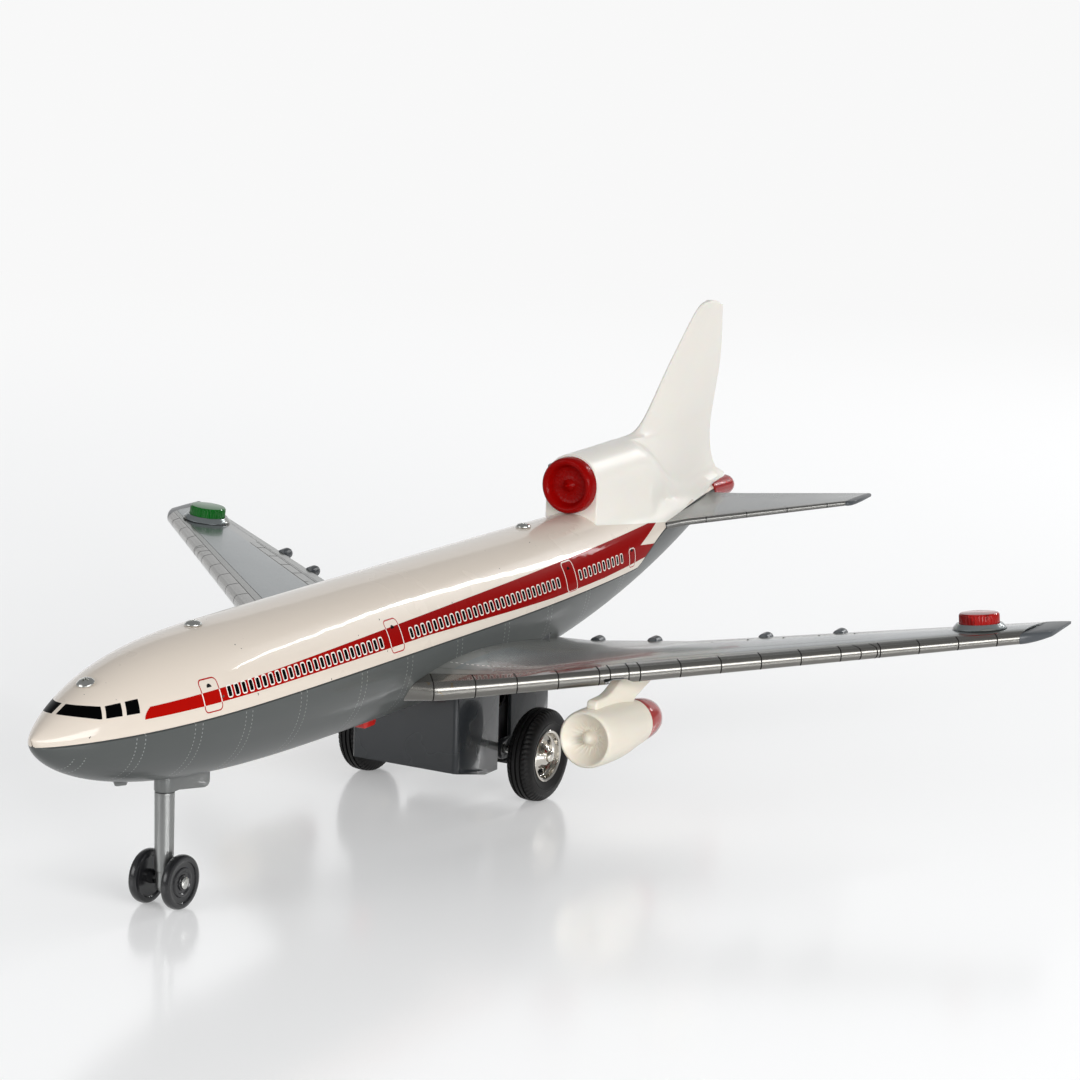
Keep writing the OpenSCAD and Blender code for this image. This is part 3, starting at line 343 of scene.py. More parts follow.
def srgb(r, g, b):
    return tuple(((c / 255 + 0.055) / 1.055) ** 2.4 for c in (r, g, b))


CREAM, RED, BLACK = srgb(233, 221, 207), srgb(176, 12, 3), srgb(3, 3, 3)
WHITE, GREY, LINE = srgb(244, 238, 230), srgb(85, 88, 87), srgb(40, 39, 38)

# %% [markdown]
# ## Lesson 4: the print on the upper half
#
# One red band runs from a curved tip behind the cockpit to the tail and gets wider on its way. Oval
# windows sit in it in three groups with a door at each end of a group. A door is one closed line that
# is printed red where it crosses the cream and white where it crosses the band, so it never vanishes.

# %% Litho print of the upper half
top = Finish("cream_tin_print", CREAM, rough=0.3, coat=1.0, Specular_IOR_Level=0.15)
x, y, z = top.place()
band_top = ((y + 217) * 0.0225 + 91.8).max(y * 0 + 91)
band_low = 87 - ((y + 60) / 110).max(0).min(1) * 2.5 + ((y - 105) / 50).max(0) * 1.2
tip = ((y + 248.5) * 0.9).max(0).root() * 2.45 + 86.6
upper_end = y < (z - 91.7) * 3.66 + 147.7
band = (z > band_low) * (z < band_top.min(tip)) * either(upper_end, z < (150.6 - y) * 0.11 + 92.5)
top.layer(band, RED)
# Painted shade: the band's red darkens towards the tail, where less light falls on it; the band itself is one
# red.
top.layer(band * ((y + 215) / 150).max(0).min(1), srgb(146, 4, 1))

DOORS = [(-213.4, 90.3, 4.9, 6.1), (-85.4, 91, 4.9, 6.5), (69.8, 91, 5.1, 6.6), (139.2, 88.3, 3.6, 4.4)]
for centre, height, half_w, half_h in DOORS:
    line = rounded(y - centre, z - height, half_w, half_h, 1.9).abs() < 0.26
    top.layer(line * band.out(), RED)
    top.layer(line * band, WHITE)
    mark = ((y - centre) * (y - centre) + (z - height - 3) * (z - height - 3)).root() < 1.35
    top.layer(mark * (z > height + 3), BLACK)

panes = []
GROUPS = [(-203, 4.42, 25), (-73, 4.81, 28), (79.6, 5.18, 10)]
for first, pitch, count in GROUPS:
    across = (y - first).repeat(pitch)
    run = y.within(first - pitch / 2, first + pitch * (count - 0.5))
    shape = rounded(across, z - 90.1, 1.55, 2.45, 1.0)
    top.layer((shape < 0) * run, WHITE)
    pane = (shape < -0.52) * run
    top.layer(pane, BLACK)
    panes.append(pane)

# Cockpit glazing: one dark strip between two lines, cut by the bars
side = x.abs()
strip_top = (94.8 - side * side * 0.009).max(side * 0.18 + 91.5)
strip_low = (92.05 - side * side * 0.0143).max(side * 0 + 89.6)
lean = 93.9 - z
bars = either(side < 0.95, (y + lean * 0.49 + 262.6).abs() < 0.75, (y + lean * 0.37 + 254.9).abs() < 0.85)
glazing = (z > strip_low) * (z < strip_top) * (y + lean * 0.31 < -248.5) * bars.out()
top.layer(glazing, BLACK)

# Age: a slightly yellowed, uneven varnish and a few pin-point chips
stain = top.noise(14, 4)
chips = (top.noise(420, 2) > 0.735) * (top.noise(35, 2) > 0.56)
top.layer(chips * glazing.out(), srgb(92, 84, 76))
top.set("Roughness", 0.2 + stain * 0.16)
top.set("Coat Weight", 0.55 - either(band, glazing, *panes) * 0.45 - glazing * 0.06)
top.set("Specular IOR Level", 0.15 - either(band, glazing, *panes) * 0.14)
top.bump(top.noise(24, 3, 0.5), 0.22)
print("print of", len(DOORS), "doors and", sum(g[2] for g in GROUPS), "windows on each side")

# %% [markdown]
# ## Lesson 5: the upper half
#
# Press the grid from seam to seam over the roof. The stations crowd towards the nose, where the
# profile turns fastest. Walls go inwards, so the outside keeps the size of the CAD shell.

# %% Press the upper half
NU, NV = 72, 150


def station(j):
    """The first half of the stations crowds towards the nose, the second half is evenly spaced."""
    t, start, length = j / NV, NOSE + 0.02, TAIL - NOSE - 0.02
    if t < 0.5:
        return start + length * (0.02 * t + 1.31 * t * t)
    return mix(start + length * 0.3375, TAIL, (t - 0.5) / 0.5)


def on_tube(y, angle, drop=0):
    r = max(0.01, half(y) - drop)
    return (r * math.cos(angle), y, mid(y) + r * math.sin(angle))


def upper_place(i, j):
    y = station(j)
    gap = 0.24 / max(1, half(y))
    a = seam_angle(y) + gap
    return on_tube(y, mix(a, math.pi - a, i / NU))


skin = wall(outward(pressed(NU, NV, upper_place), (0, 0, 60)), 0.5)
piece("fuselage_upper_skin", skin, top.mat, "airframe", ["fuselage_upper"])

# %% [markdown]
# ## Lesson 6: the lower half
#
# The lower half is printed plain grey with dotted rivet rows that go round it in pairs. Its rim is
# joggled: it steps in by one thickness and stands up behind the upper half, which hides the joint and
# leaves only the thin dark line of the seam. The belly is cut out for the battery box, the leg's
# bracket and the switch.

# %% Print and press the lower half
belly = Finish("grey_tin_print", GREY, rough=0.36, coat=0.2, Specular_IOR_Level=0.2)
x, y, z = belly.place()
around = z * 0.62 + x.abs() * 0.5
RIVET_ROWS = (-274.8, -250.8, -222, -192.6, -156.2, -112.2, -76.8, -35.8, 5, 46, 87, 128)
rows = None
for at_y in RIVET_ROWS:
    pair = either((y - at_y - 2).abs() < 0.2, (y - at_y + 2).abs() < 0.2)
    rows = pair if rows is None else either(rows, pair)
dots = rows * (around.repeat(1.15).abs() < 0.26) * ((z < 76) + (y > -262)).min(1)
belly.layer(dots, srgb(146, 149, 147))
belly.set("Roughness", 0.26 + belly.noise(18, 4) * 0.14)
belly.bump(belly.noise(8, 2), 0.04)

RIM = [(2.0, 0.78), (0.6, 0.78), (-0.15, 0.7), (-0.3, 0.28), (-0.5, 0.0)]
LOWER = 80
LOWER_NOSE = next(y for y in (NOSE + 0.01 * k for k in range(1000)) if seam_z(y) - mid(y) > -0.98 * half(y))


def lower_place(i, j):
    y = mix(LOWER_NOSE, TAIL, (station(j) - station(0)) / (TAIL - station(0)))
    r = max(1, half(y))
    a = seam_angle(y)
    k = min(i, LOWER - i)
    if k < len(RIM):
        lift, drop = RIM[k]
        angle = a + lift / r
    else:
        t = (k - len(RIM) + 1) / (LOWER / 2 - len(RIM) + 1)
        drop, angle = 0, mix(a - 0.5 / r, -math.pi / 2, t)
    p = on_tube(y, angle, drop * min(1, half(y) / 6))
    return p if i <= LOWER / 2 else (-p[0], p[1], p[2])


def slice_at(bm, planes):
    """Adds edges where the planes go through the mesh; each is a place in mm and a normal."""
    for co, no in planes:
        bmesh.ops.bisect_plane(bm, geom=bm.verts[:] + bm.edges[:] + bm.faces[:],
                               plane_co=Vector(co) * MM, plane_no=no, dist=1e-7)


def cut_out(bm, x0, x1, y0, y1, below):
    """Cuts a rectangular hole, seen from below."""
    across, along = (1, 0, 0), (0, 1, 0)
    slice_at(bm, (((x0, 0, 0), across), ((x1, 0, 0), across), ((0, y0, 0), along), ((0, y1, 0), along)))
    hole = [f for f in bm.faces for c in [f.calc_center_median() / MM]
            if x0 < c.x < x1 and y0 < c.y < y1 and c.z < below]
    bmesh.ops.delete(bm, geom=hole, context="FACES")


skin = outward(pressed(LOWER, NV, lower_place), (0, 0, 80))
# Half width, front, back and the height below which the tin is open
HOUSING_HOLE = (27, -29.5, 54, 75)
BRACKET_HOLE = (4.2, -211.7, -182.5, 70)
SWITCH_HOLE = (1.6, -65.3, -54.7, 60)
for half_w, front, back, below in (HOUSING_HOLE, BRACKET_HOLE, SWITCH_HOLE):
    cut_out(skin, -half_w, half_w, front, back, below)
piece("fuselage_lower_skin", wall(skin, 0.5), belly.mat, "airframe", ["fuselage_lower"])

# %% [markdown]
# ## Lesson 7: the wings
#
# A wing is one sheet that is folded round its leading edge. The print divides it with thin lines that
# run to the tip at fixed shares of the chord: a band along the leading edge with cross lines square to
# the edge, a rivet row, and hatched cells near the trailing edge. The ink is matt, so the lines stay
# dark where the tin mirrors the bright room.

# %% Print of the wings
# The leading edge starts at the root and moves back (SWEEP) and up (RISE) for every millimetre of span.
# BAND is the width of the band along it, as a share of the chord.
ROOT_X, EDGE_Y, EDGE_Z, SWEEP, RISE = 31, -72.5, 62.9, 0.919, 0.0915
BAND = 0.138
wing = Finish("wing_tin_print", srgb(116, 114, 109), rough=0.24, metal=0.6, coat=0.4)
x, y, z = wing.place()
span = x.abs()
ahead = y - EDGE_Y - (span - ROOT_X) * SWEEP
full = 100.7 - span * 0.279
share = ahead / full
foot = ROOT_X + ((span - ROOT_X) + (y - EDGE_Y) * SWEEP) / 1.844
wing.layer(share > BAND, srgb(136, 137, 133))
wing.layer(share.within(0.212, 0.76) * span.within(36, 232), srgb(128, 134, 135))
ticks = ((foot - 37.4).repeat(13.33).abs() < 0.2) * span.within(30, 228)
extra = either(foot.near(94.2, 0.2), foot.near(100.3, 0.2), (foot + ahead * 0.25).near(177.5, 0.2),
               (foot + ahead * 0.25).near(183, 0.2))
cross_lines = either(ticks, extra) * (share < BAND)
wing.layer(cross_lines, LINE)
long_lines = either(share.near(BAND, 0.003), share.near(0.212, 0.0026))
wing.layer(long_lines, srgb(84, 84, 82))
wing.layer(share.near(0.40, 0.0014), srgb(140, 144, 144))
rivets = share.near(0.3, 0.004) * (foot.repeat(1.7).abs() < 0.42) * (span < 96)
wing.layer(rivets, srgb(216, 214, 208))
cells = share.within(0.775, 0.88) * span.within(108, 168)
hatch = ((foot - ahead * 0.22).repeat(12.4).abs() < 0.3) * cells
frame_lines = either(share.near(0.775, 0.004), share.near(0.88, 0.004)) * span.within(100, 170)
cell_lines = either(hatch, frame_lines, share.near(0.905, 0.0025))
wing.layer(cell_lines, srgb(92, 92, 90))
wear = (wing.noise(240, 3) > 0.66) * (span < 44) * (ahead < 12)
wing.layer(wear, srgb(120, 104, 76))
bare = either(cross_lines, long_lines, cell_lines).out()
wing.set("Metallic", ((share < BAND) * 0.3 + 0.45) * bare)
wing.set("Coat Weight", ((share < BAND) * 0.5 + 0.3) * bare)
wing.set("Specular IOR Level", bare * 0.5)
wing.set("Roughness", 0.18 + wing.noise(22, 4) * 0.12)
wing.bump(wing.noise(7, 2), 0.03)

# %% Fold the wing tops


KINK_X, TIP_X, END_X = 95, 231.5, 241
INBOARD = KINK_X - ROOT_X


def edge_y(x): return EDGE_Y + SWEEP * (x - ROOT_X)
def edge_z(x): return EDGE_Z + RISE * (x - ROOT_X)
def edge_r(x): return 3.9 - 1.6 * (x - ROOT_X) / (END_X - ROOT_X)
def back_y(x): return 60.5 + 0.64 * (x - KINK_X) if x > KINK_X else 60.5 + 13.5 * (KINK_X - x) / INBOARD


def back_z(x):
    if x > KINK_X:
        return edge_z(x) + 2.1 - 0.6 * (x - KINK_X) / (END_X - KINK_X)
    return 60 + (edge_z(KINK_X) - 57.9) * (x - ROOT_X) / INBOARD


def chord(x): return back_y(x) - edge_y(x)


def swell(x, s):
    """How far the top bulges where it meets the fuselage."""
    return 7 * max(0, 1 - (x - ROOT_X) / 34) ** 2 * math.sin(math.pi * max(0, s) ** 0.75)


def wing_at(x, s, up):
    """The place at share s of the chord, and up from it."""
    return Vector((x, edge_y(x) + chord(x) * s,
                   edge_z(x) + (back_z(x) - edge_z(x)) * s + up + (swell(x, s) if up > 0 else 0)))


def through(points, t):
    """Smooth curve through points, t from 0 to 1."""
    n = len(points) - 1
    i = min(n - 1, int(t * n))
    f = t * n - i
    p = [points[max(0, min(n, i + k))] for k in (-1, 0, 1, 2)]
    return tuple(0.5 * (2 * b + (c - a) * f + (2 * a - 5 * b + 4 * c - d) * f * f
                        + (3 * b - a - 3 * c + d) * f ** 3)
                 for a, b, c, d in zip(*p))


AROUND, BACK = 22, 26


def top_line(x, k):
    r, c = edge_r(x), chord(x)
    if k < 2:
        return wing_at(x, (1.5 - 0.25 * k) * r / c, -r)
    if k < AROUND:
        a = math.radians(mix(-90, 90, (k - 2) / (AROUND - 2)))
        return wing_at(x, (r - r * math.cos(a)) / c, r * math.sin(a))
    crown = [(r / c, r), (0.117, r + 0.54), (0.26, r + 0.9), (0.5, 0.8 * r + 0.9),
             (0.75, 0.5 * r + 0.63), (1, 0.5)]
    return wing_at(x, *through(crown, (k - AROUND) / BACK))


def span_x(i, n):
    """Closer stations near the fuselage."""
    t = i / n
    return mix(ROOT_X, TIP_X, 0.45 * t + 0.55 * t * t)


BLEND_X = 38
HOUSING_FRONT, HOUSING_BACK = -32.5, 57


def to_root(line, x, beside_box=0):
    """Inside BLEND_X the wing runs straight onto the side of the fuselage, or of the housing."""
    if x >= BLEND_X:
        return line(x)
    a, b = line(ROOT_X), line(BLEND_X)
    wide = beside_box if HOUSING_FRONT < a.y < HOUSING_BACK else 0
    root = Vector((max(side_x(a.y, a.z), wide) + 0.12, a.y, a.z))
    return root.lerp(b, (x - ROOT_X) / (BLEND_X - ROOT_X))


NOTCH_X, NOTCH_MID_X = 92, 98.5


def under_up(x, s): return -(edge_r(x) - 0.55) * (1 - s) - 0.6 * s


def notched(bm):
    """Opens the lip of the leading edge where the engine's pylon goes in."""
    below_edge, outer_slope, inner_side = (-RISE, 0, 1), (3.2, 0, 3.5), (-1, 0, 0)
    cuts = [(Vector((x, 0, edge_z(x) - 0.4)), Vector(no)) for x, no in
            ((NOTCH_X, below_edge), (NOTCH_MID_X, outer_slope), (NOTCH_X, inner_side))]
    slice_at(bm, cuts)
    hole = [f for f in bm.faces for c in [f.calc_center_median() / MM]
            if c.y < edge_y(c.x) + 8 and all((c - co).dot(no) < 0 for co, no in cuts)]
    bmesh.ops.delete(bm, geom=hole, context="FACES")
    return bm


SPAN = 64
bm = pressed(AROUND + BACK, SPAN, lambda i, j: to_root(lambda q: top_line(q, i), span_x(j, SPAN)))
skin = wall(notched(outward(bm, (110, 40, 40))), 0.45)
both_sides("wing_top", skin, wing.mat, "airframe", "wing_tin", "wing_top", sharp=50)

# %% [markdown]
# The underside is a flat sheet that lies on the folded lip of the top one.

# %% Wing undersides
under_print = Finish("wing_under_print", srgb(150, 151, 149), rough=0.3, metal=0.45, coat=0.5)
under_print.place()
under_print.set("Roughness", 0.24 + under_print.noise(20, 3) * 0.16)


UNDER = 32


def under_line(x, k):
    s = mix(0.9 * edge_r(x) / chord(x), 1, (k / UNDER) ** 1.3)
    return wing_at(x, s, under_up(x, s))


bm = pressed(UNDER, SPAN, lambda i, j: to_root(lambda q: under_line(q, i), span_x(j, SPAN), beside_box=27))
skin = wall(notched(outward(bm, (110, 40, 200))), 0.3)
both_sides("wing_bottom", skin, under_print.mat, "airframe", "wing_under_tin", "wing_bottom")

# %% [markdown]
# ## Lesson 8: tips, pods and lamps
#
# The open end of a wing is closed by a dark moulded cap that narrows to the tip. Small pods stand for
# the flap tracks: they keep under the wing, rise behind its trailing edge and end in blunt domes. The
# lamps are ribbed drums of coloured plastic, hardly clear, over a bulb, on a round pressed seat.

# %% Wing tips and pods
dark = Finish("dark_plastic", srgb(74, 78, 82), rough=0.32)
dark.place()
dark.set("Roughness", 0.26 + dark.noise(30, 3) * 0.14)


def tip_ring(x, k):
    f = (x - TIP_X) / (END_X - TIP_X)
    grow, front, backwards = mix(1.04, 0.5, f ** 2.2), 7 * f ** 2, 2 * f ** 2
    r, c = edge_r(x) * grow, chord(x) - front - backwards
    loop = [(front + r - r * math.cos(math.radians(a)), r * math.sin(math.radians(a)))
            for a in range(-90, 91, 15)]
    loop += [(front + mix(r, c, t), mix(r, 0.5, t ** 1.6)) for t in (0.25, 0.5, 0.75, 0.9, 1)]
    loop += [(front + mix(c, r, t), mix(-0.7, -r, t)) for t in (0, 0.33, 0.66, 1)]
    d, up = loop[k % len(loop)]
    return wing_at(x, d / chord(x), up)


bm = pressed(22, 10, lambda i, j: tip_ring(mix(TIP_X + 0.05, END_X, math.sin(math.pi / 2 * j / 10)), i))
close_ends(bm)
both_sides("wing_tip", outward(bm, (236, 130, 82)), dark.mat, "airframe", "dark_plastic", "wing_tip",
           sharp=60)
POD_XS = (40, 73, 122.5, 151)


def pods():
    """Four pods that end in a blunt dome behind the trailing edge and keep under the wing before it."""
    bm = bmesh.new()
    for x in POD_XS:
        edge, run = wing_at(x, 1, 0), min(40, 0.55 * chord(x)) + 8
        rings = [(0, 0), (1.2, 0.6), (2, 3), (2.5, 7)] + [(2.9, run - k) for k in range(int(run) - 10, 3, -1)]
        rings += [(2.8, run - 2.4), (2.4, run - 1.3), (1.6, run - 0.5), (0.8, run - 0.1), (0, run)]
        pod = moved(spun(rings, 24), ALONG_Y)
        tilt = Matrix.Rotation(math.asin(3 / run), 4, "X")
        moved(pod, at(x, edge.y + 8 - run, edge.z - 3.6) @ tilt)
        for v in pod.verts:
            s = (v.co.y / MM - edge_y(x)) / chord(x)
            if s < 1.004:
                v.co.z = min(v.co.z, wing_at(x, s, -(edge_r(x) - 0.55) * (1 - s) - 0.75).z * MM)
        mesh = bpy.data.meshes.new("pod")
        pod.to_mesh(mesh)
        bm.from_mesh(mesh)
        bpy.data.meshes.remove(mesh)
        pod.free()
    return bm


both_sides("flap_pods", pods(), dark.mat, "airframe", "fairing_plastic", "flap_fairings")

# %% Lamps
LAMP = wing_at(210.8, 0.57, edge_r(210.8) * 0.72 + 0.9)
ON_WING = Matrix.Translation(LAMP * MM) @ Matrix.Rotation(math.radians(-6.3), 4, "Y") @ \
    Matrix.Rotation(math.radians(-2.15), 4, "X")


def lens_material(name, colour, deep):
    m = Finish(name, colour, rough=0.1, Transmission_Weight=0.12, IOR=1.35)
    m.place()
    m.layer(m.noise(60, 2) < 0.42, deep)
    return m.mat


red_clear = lens_material("red_lens_plastic", srgb(176, 14, 9), srgb(140, 8, 5))
green_clear = lens_material("green_lens_plastic", srgb(0, 110, 26), srgb(0, 84, 16))
RIBS = 36
outer = [(0, 7.15), (7.6, 7.15), (8.5, 7.0), (8.9, 6.6), (9.1, 6.0), (9.1, 1.6)]
inner = [(7.7, 1.6), (7.7, 5.6), (7.2, 6.1), (0, 6.1)]
bm = spun(outer + inner, RIBS * 8)
for v in bm.verts:
    r, h = math.hypot(v.co.x, v.co.y) / MM, v.co.z / MM
    if 7.5 < r < 9.3 and 1.7 < h < 6.3:
        wave = 0.5 + 0.5 * math.cos(RIBS * math.atan2(v.co.y, v.co.x))
        v.co.xy *= 1 - (0.05 if r > 8 else 0.06) * (1 - wave)
lens = moved(bm, ON_WING)
other = mirrored(lens)
piece("lamp_lens_drum_port", lens, red_clear, "airframe", ["lamp_lens_port"])
piece("lamp_lens_drum_starboard", other, green_clear, "airframe", ["lamp_lens_starboard"])
seat = moved(spun([(2.6, 1.35), (9.2, 1.35), (9.25, 2.5), (9.7, 2.6), (10.3, 2.45), (11.3, 1.4), (12.1, 0.55),
                   (12.2, 0.25), (2.6, 0.25), (2.6, 1.35)]), ON_WING)
both_sides("lamp_seat", seat, wing.mat, "airframe", "wing_tin", "lamp_seat")

# %% [markdown]
# ## Lesson 9: the tail moulding
#
# One soft white moulding holds the centre engine's duct, the saddle on the roof and the fin. It is the
# hardest shape of the toy: a round duct that flares down to the fuselage, fades out behind, and gives
# way to a fin that leans back. Every ring across it is the sum of those two shapes, blended by a power
# mean, so that the shoulder between them stays soft like moulded plastic.

# %% Tail moulding
DUCT_Y, STAB_Y, LAST_Y = 118.5, 187.5, 262


def saddle_z(y):
    return (mix(106.2, 98, (y - DUCT_Y) / (STAB_Y - DUCT_Y)) if y < STAB_Y
            else mix(98, 103, (y - STAB_Y) / 64.5) if y < 252 else mix(103, 107.3, (y - 252) / 10))


def saddle_x(y): return max(4.4, side_x(y, saddle_z(y)))
def bend(t, soft): return soft * math.log(1 + math.exp(min(60, t / soft)))


def top_z(y):
    duct = 139 + min(1, (y - DUCT_Y) / 40)
    fin = duct + 1.12 * bend(y - 187.5, 6)
    return 201 - bend(201 - fin, 3) - 3 * ease((y - 252) / 10)


def fin_front(z):
    lo, hi = 160, 248
    for _ in range(22):
        m = (lo + hi) / 2
        lo, hi = (m, hi) if top_z(m) < z else (lo, m)
    return (lo + hi) / 2


def fin_back(z):
    """The trailing edge sweeps out to a beak over the tail lamp."""
    return LAST_Y + 19 * math.exp(min((108.4 - z) / 7, (z - 108.4) / 1.5)) + 10 * ease((z - 130) / 50)


def fin_t(y, z):
    front = fin_front(z)
    s = max(0, min(1, (y - front) / max(1, fin_back(z) - front)))
    return mix(6.6, 2.6, ease((z - 118) / 90)) * min(1, s / 0.35) ** 0.5 * (1 - 0.72 * s ** 2.2)


def duct_half(y): return mix(14, 6.2, ease((y - 172) / 33))
def duct_top(y): return mix(139 + (y - DUCT_Y) / 40, 112, ease((y - 166) / 60))


def duct_t(y, z):
    w = duct_half(y)
    f = w + (saddle_x(y) - w) * math.exp((saddle_z(y) - z) / 3.5)
    up = duct_top(y) - w
    return f if z < up else f * math.sqrt(max(0, 1 - ((z - up) / w) ** 2)) if z < duct_top(y) else 0


def half_t(y, z):
    d = duct_t(y, z)
    f = 0 if y < 160 else fin_t(y, z) * (1 - math.exp((saddle_z(y) - z) / 5))
    return max((d ** 2.4 + f ** 2.4) ** (1 / 2.4), side_x(y, z) + 0.3 if z > saddle_z(y) + 0.3 else 0)


def lean_back(y, z): return (fin_back(z) - LAST_Y) * ease((y - 205) / (LAST_Y - 205))


RING, ROWS, CAP = 96, 90, (0, 0.6, 0.965, 1)


def tail_place(i, j):
    """Round the moulding from the saddle over the top, down the other side and back underneath."""
    t = (i % (RING + 1)) / RING
    row = min(max(j - len(CAP) + 1, 0), ROWS)
    closing = CAP[min(j, len(CAP) - 1, 2 * len(CAP) - 2 + ROWS - j)]
    y = mix(DUCT_Y, LAST_Y, row / ROWS)
    s = 1 - abs(2 * t - 1)
    z = mix(saddle_z(y), top_z(y), math.sin(math.pi / 2 * s))
    side = 0 if 2 * t == 1 else half_t(y, z) * (1 if t < 0.5 else -1)
    return (side * closing, y + lean_back(y, z) + (0.45 if j == len(CAP) - 1 else 0), z)


white = Finish("white_plastic", srgb(252, 247, 238), rough=0.3, Specular_IOR_Level=0.3,
               Subsurface_Weight=0.12, Subsurface_Scale=0.004)
white.place()
white.set("Roughness", 0.24 + white.noise(16, 3) * 0.14)
shell = outward(pressed(RING + 1, ROWS + 2 * len(CAP) - 2, tail_place), (0, 180, 110))
piece("tail_moulding_skin", shell, white.mat, "airframe", ["tail_moulding"], sharp=38)

# %% [markdown]
# ## Lesson 10: stabilisers
#
# They are made like the wings, from one folded sheet, and carry the same lines on a small scale. The
# root follows the slanting edge between the tail moulding and the tin, and the sheet rises a little
# towards its trailing edge, most at the root.

# %% Stabilisers
STAB_X, STAB_EDGE_Y, STAB_SWEEP = 16.2, 187.8, 0.905
stab_print = Finish("stabiliser_print", srgb(112, 111, 108), rough=0.24, metal=0.5, coat=0.25)
x, y, z = stab_print.place()
span = x.abs()
ahead = y - STAB_EDGE_Y - (span - STAB_X) * STAB_SWEEP
share = ahead / (71 - span * 0.555)
foot = ((span - 16) + (y - STAB_EDGE_Y) * STAB_SWEEP) / 1.819
stab_print.layer(share > 0.2, srgb(112, 115, 114))
stab_print.layer((foot.repeat(15.5).abs() < 0.2) * (share < 0.2), LINE)
PALE_LINE = srgb(104, 104, 102)
stab_print.layer(either(share.near(0.2, 0.005), share.near(0.62, 0.004) * span.within(30, 84)), PALE_LINE)
stab_print.layer(span.near(57, 0.25) * (share > 0.62), PALE_LINE)
stab_print.set("Roughness", 0.2 + stab_print.noise(24, 3) * 0.12)


STAB_IN, STAB_FREE, STAB_OUT = 14, 24, 85


def stab_edge(x): return STAB_EDGE_Y + STAB_SWEEP * (x - STAB_X)
def stab_back(x): return 252 + 0.35 * (x - 7)
def stab_mid(x): return 96.4 + 0.142 * (x - STAB_X)
def stab_lift(x): return mix(5.7, 1, (x - STAB_FREE) / (STAB_OUT - STAB_FREE))


def stab_loop(x, k, lift=0):
    c, r = stab_back(x) - stab_edge(x), mix(1.7, 1.2, (x - STAB_IN) / 70)
    loop = [(r - r * math.cos(math.radians(a)), r * math.sin(math.radians(a))) for a in range(-90, 91, 15)]
    upper = [through([(r, r), (0.3 * c, r), (0.6 * c, 0.8 * r), (c, 0.4)], t / 8) for t in range(1, 9)]
    loop += upper + [(d, -u) for d, u in reversed(upper)]
    d, up = loop[k % len(loop)]
    return Vector((x, stab_edge(x) + d, stab_mid(x) + up + lift * d / c))


STAB_LOOP = 29


def stab_place(i, j):
    """Between STAB_IN and STAB_FREE the sheet runs straight onto the side of the fuselage."""
    x = mix(STAB_IN, STAB_OUT, j / 24)
    if x >= STAB_FREE:
        return stab_loop(x, i, stab_lift(x))
    a, b = stab_loop(STAB_IN, i), stab_loop(STAB_FREE, i, stab_lift(STAB_FREE))
    z = saddle_z(a.y) + (a.z - stab_mid(STAB_IN)) - 1.9
    return Vector((side_x(a.y, z) + 0.15, a.y, z)).lerp(b, (x - STAB_IN) / (STAB_FREE - STAB_IN))


bm = pressed(STAB_LOOP, 24, stab_place)
both_sides("stabiliser", outward(bm, (50, 235, 100)), stab_print.mat, "airframe", "wing_tin", "stabiliser",
           sharp=50)


def stab_tip_place(i, j):
    f = j / 6
    x = STAB_OUT + 0.05 + 2.95 * f
    middle = Vector((x, stab_edge(STAB_OUT) + 17, stab_mid(STAB_OUT) + 0.4 * f))
    p = stab_loop(STAB_OUT, i, stab_lift(STAB_OUT))
    return middle + (Vector((x, p.y, p.z)) - middle) * mix(1, 0.72, f ** 2.5)


bm = close_ends(pressed(STAB_LOOP, 6, stab_tip_place))
both_sides("stabiliser_tip", outward(bm, (86, 262, 106)), dark.mat, "airframe", "dark_plastic",
           "stabiliser_tip", sharp=60)

# %% [markdown]
# ## Lesson 11: engines
#
# A barrel, its fan and its pylon leave one mould. The fan is a shallow dish with fine flutes that fade
# into a small round spinner. The red cap behind it is a long, opaque, glossy dome. TRIM makes barrel
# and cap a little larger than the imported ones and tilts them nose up, as the photograph shows them.
# The pylon goes into the wing through the notch in its lip.

# %% Wing engines
cream = Finish("cream_plastic", srgb(246, 238, 222), rough=0.34, Subsurface_Weight=0.15,
               Subsurface_Scale=0.003)
cream.place()
cream.set("Roughness", 0.3 + cream.noise(20, 3) * 0.12)
ENGINE_X, ENGINE_Y, ENGINE_Z = 90, -28.5, 43.9
ENGINE = at(ENGINE_X, ENGINE_Y, ENGINE_Z)
TRIM = at(0, 0, -0.5) @ Matrix.Rotation(math.radians(-1.3), 4, "X") @ Matrix.Scale(1.045, 4)
FLUTES, FLUTE_IN, FLUTE_OUT, FLUTE_HEIGHT = 24, 2.9, 8.6, 0.34
barrel = [(0, 1.0), (0.9, 1.1), (1.7, 1.6), (2.2, 2.4), (2.5, 3.6), (2.8, 4.9), (3.4, 5.6), (4.2, 5.8),
          (5.6, 5.2), (7.0, 4.2), (8.3, 3.1), (9.4, 2.0), (10.0, 1.1), (10.4, 0.4), (10.9, 0.05),
          (11.4, 0.15), (11.9, 0.8), (12.15, 1.8), (12.3, 4), (12.42, 8), (12.45, 12), (12.4, 16),
          (12.25, 20), (11.95, 24), (11.5, 28), (10.95, 32), (10.4, 36), (9.75, 42.2), (9.4, 42.5), (0, 42.5)]
bm = spun(barrel, 8 * FLUTES)
for v in bm.verts:
    r, h = math.hypot(v.co.x, v.co.y) / MM, v.co.z / MM
    if FLUTE_IN < r < FLUTE_OUT and 1.5 < h < 6:
        crest = (0.5 + 0.5 * math.cos(FLUTES * math.atan2(v.co.y, v.co.x))) ** 5
        fade = math.sin(math.pi * ((r - FLUTE_IN) / (FLUTE_OUT - FLUTE_IN)) ** 0.6)
        v.co.z -= FLUTE_HEIGHT * crest * fade * MM
moved(bm, ENGINE @ TRIM @ ALONG_Y)
both_sides("engine_barrel", bm, cream.mat, "airframe", "cream_plastic", "engine")


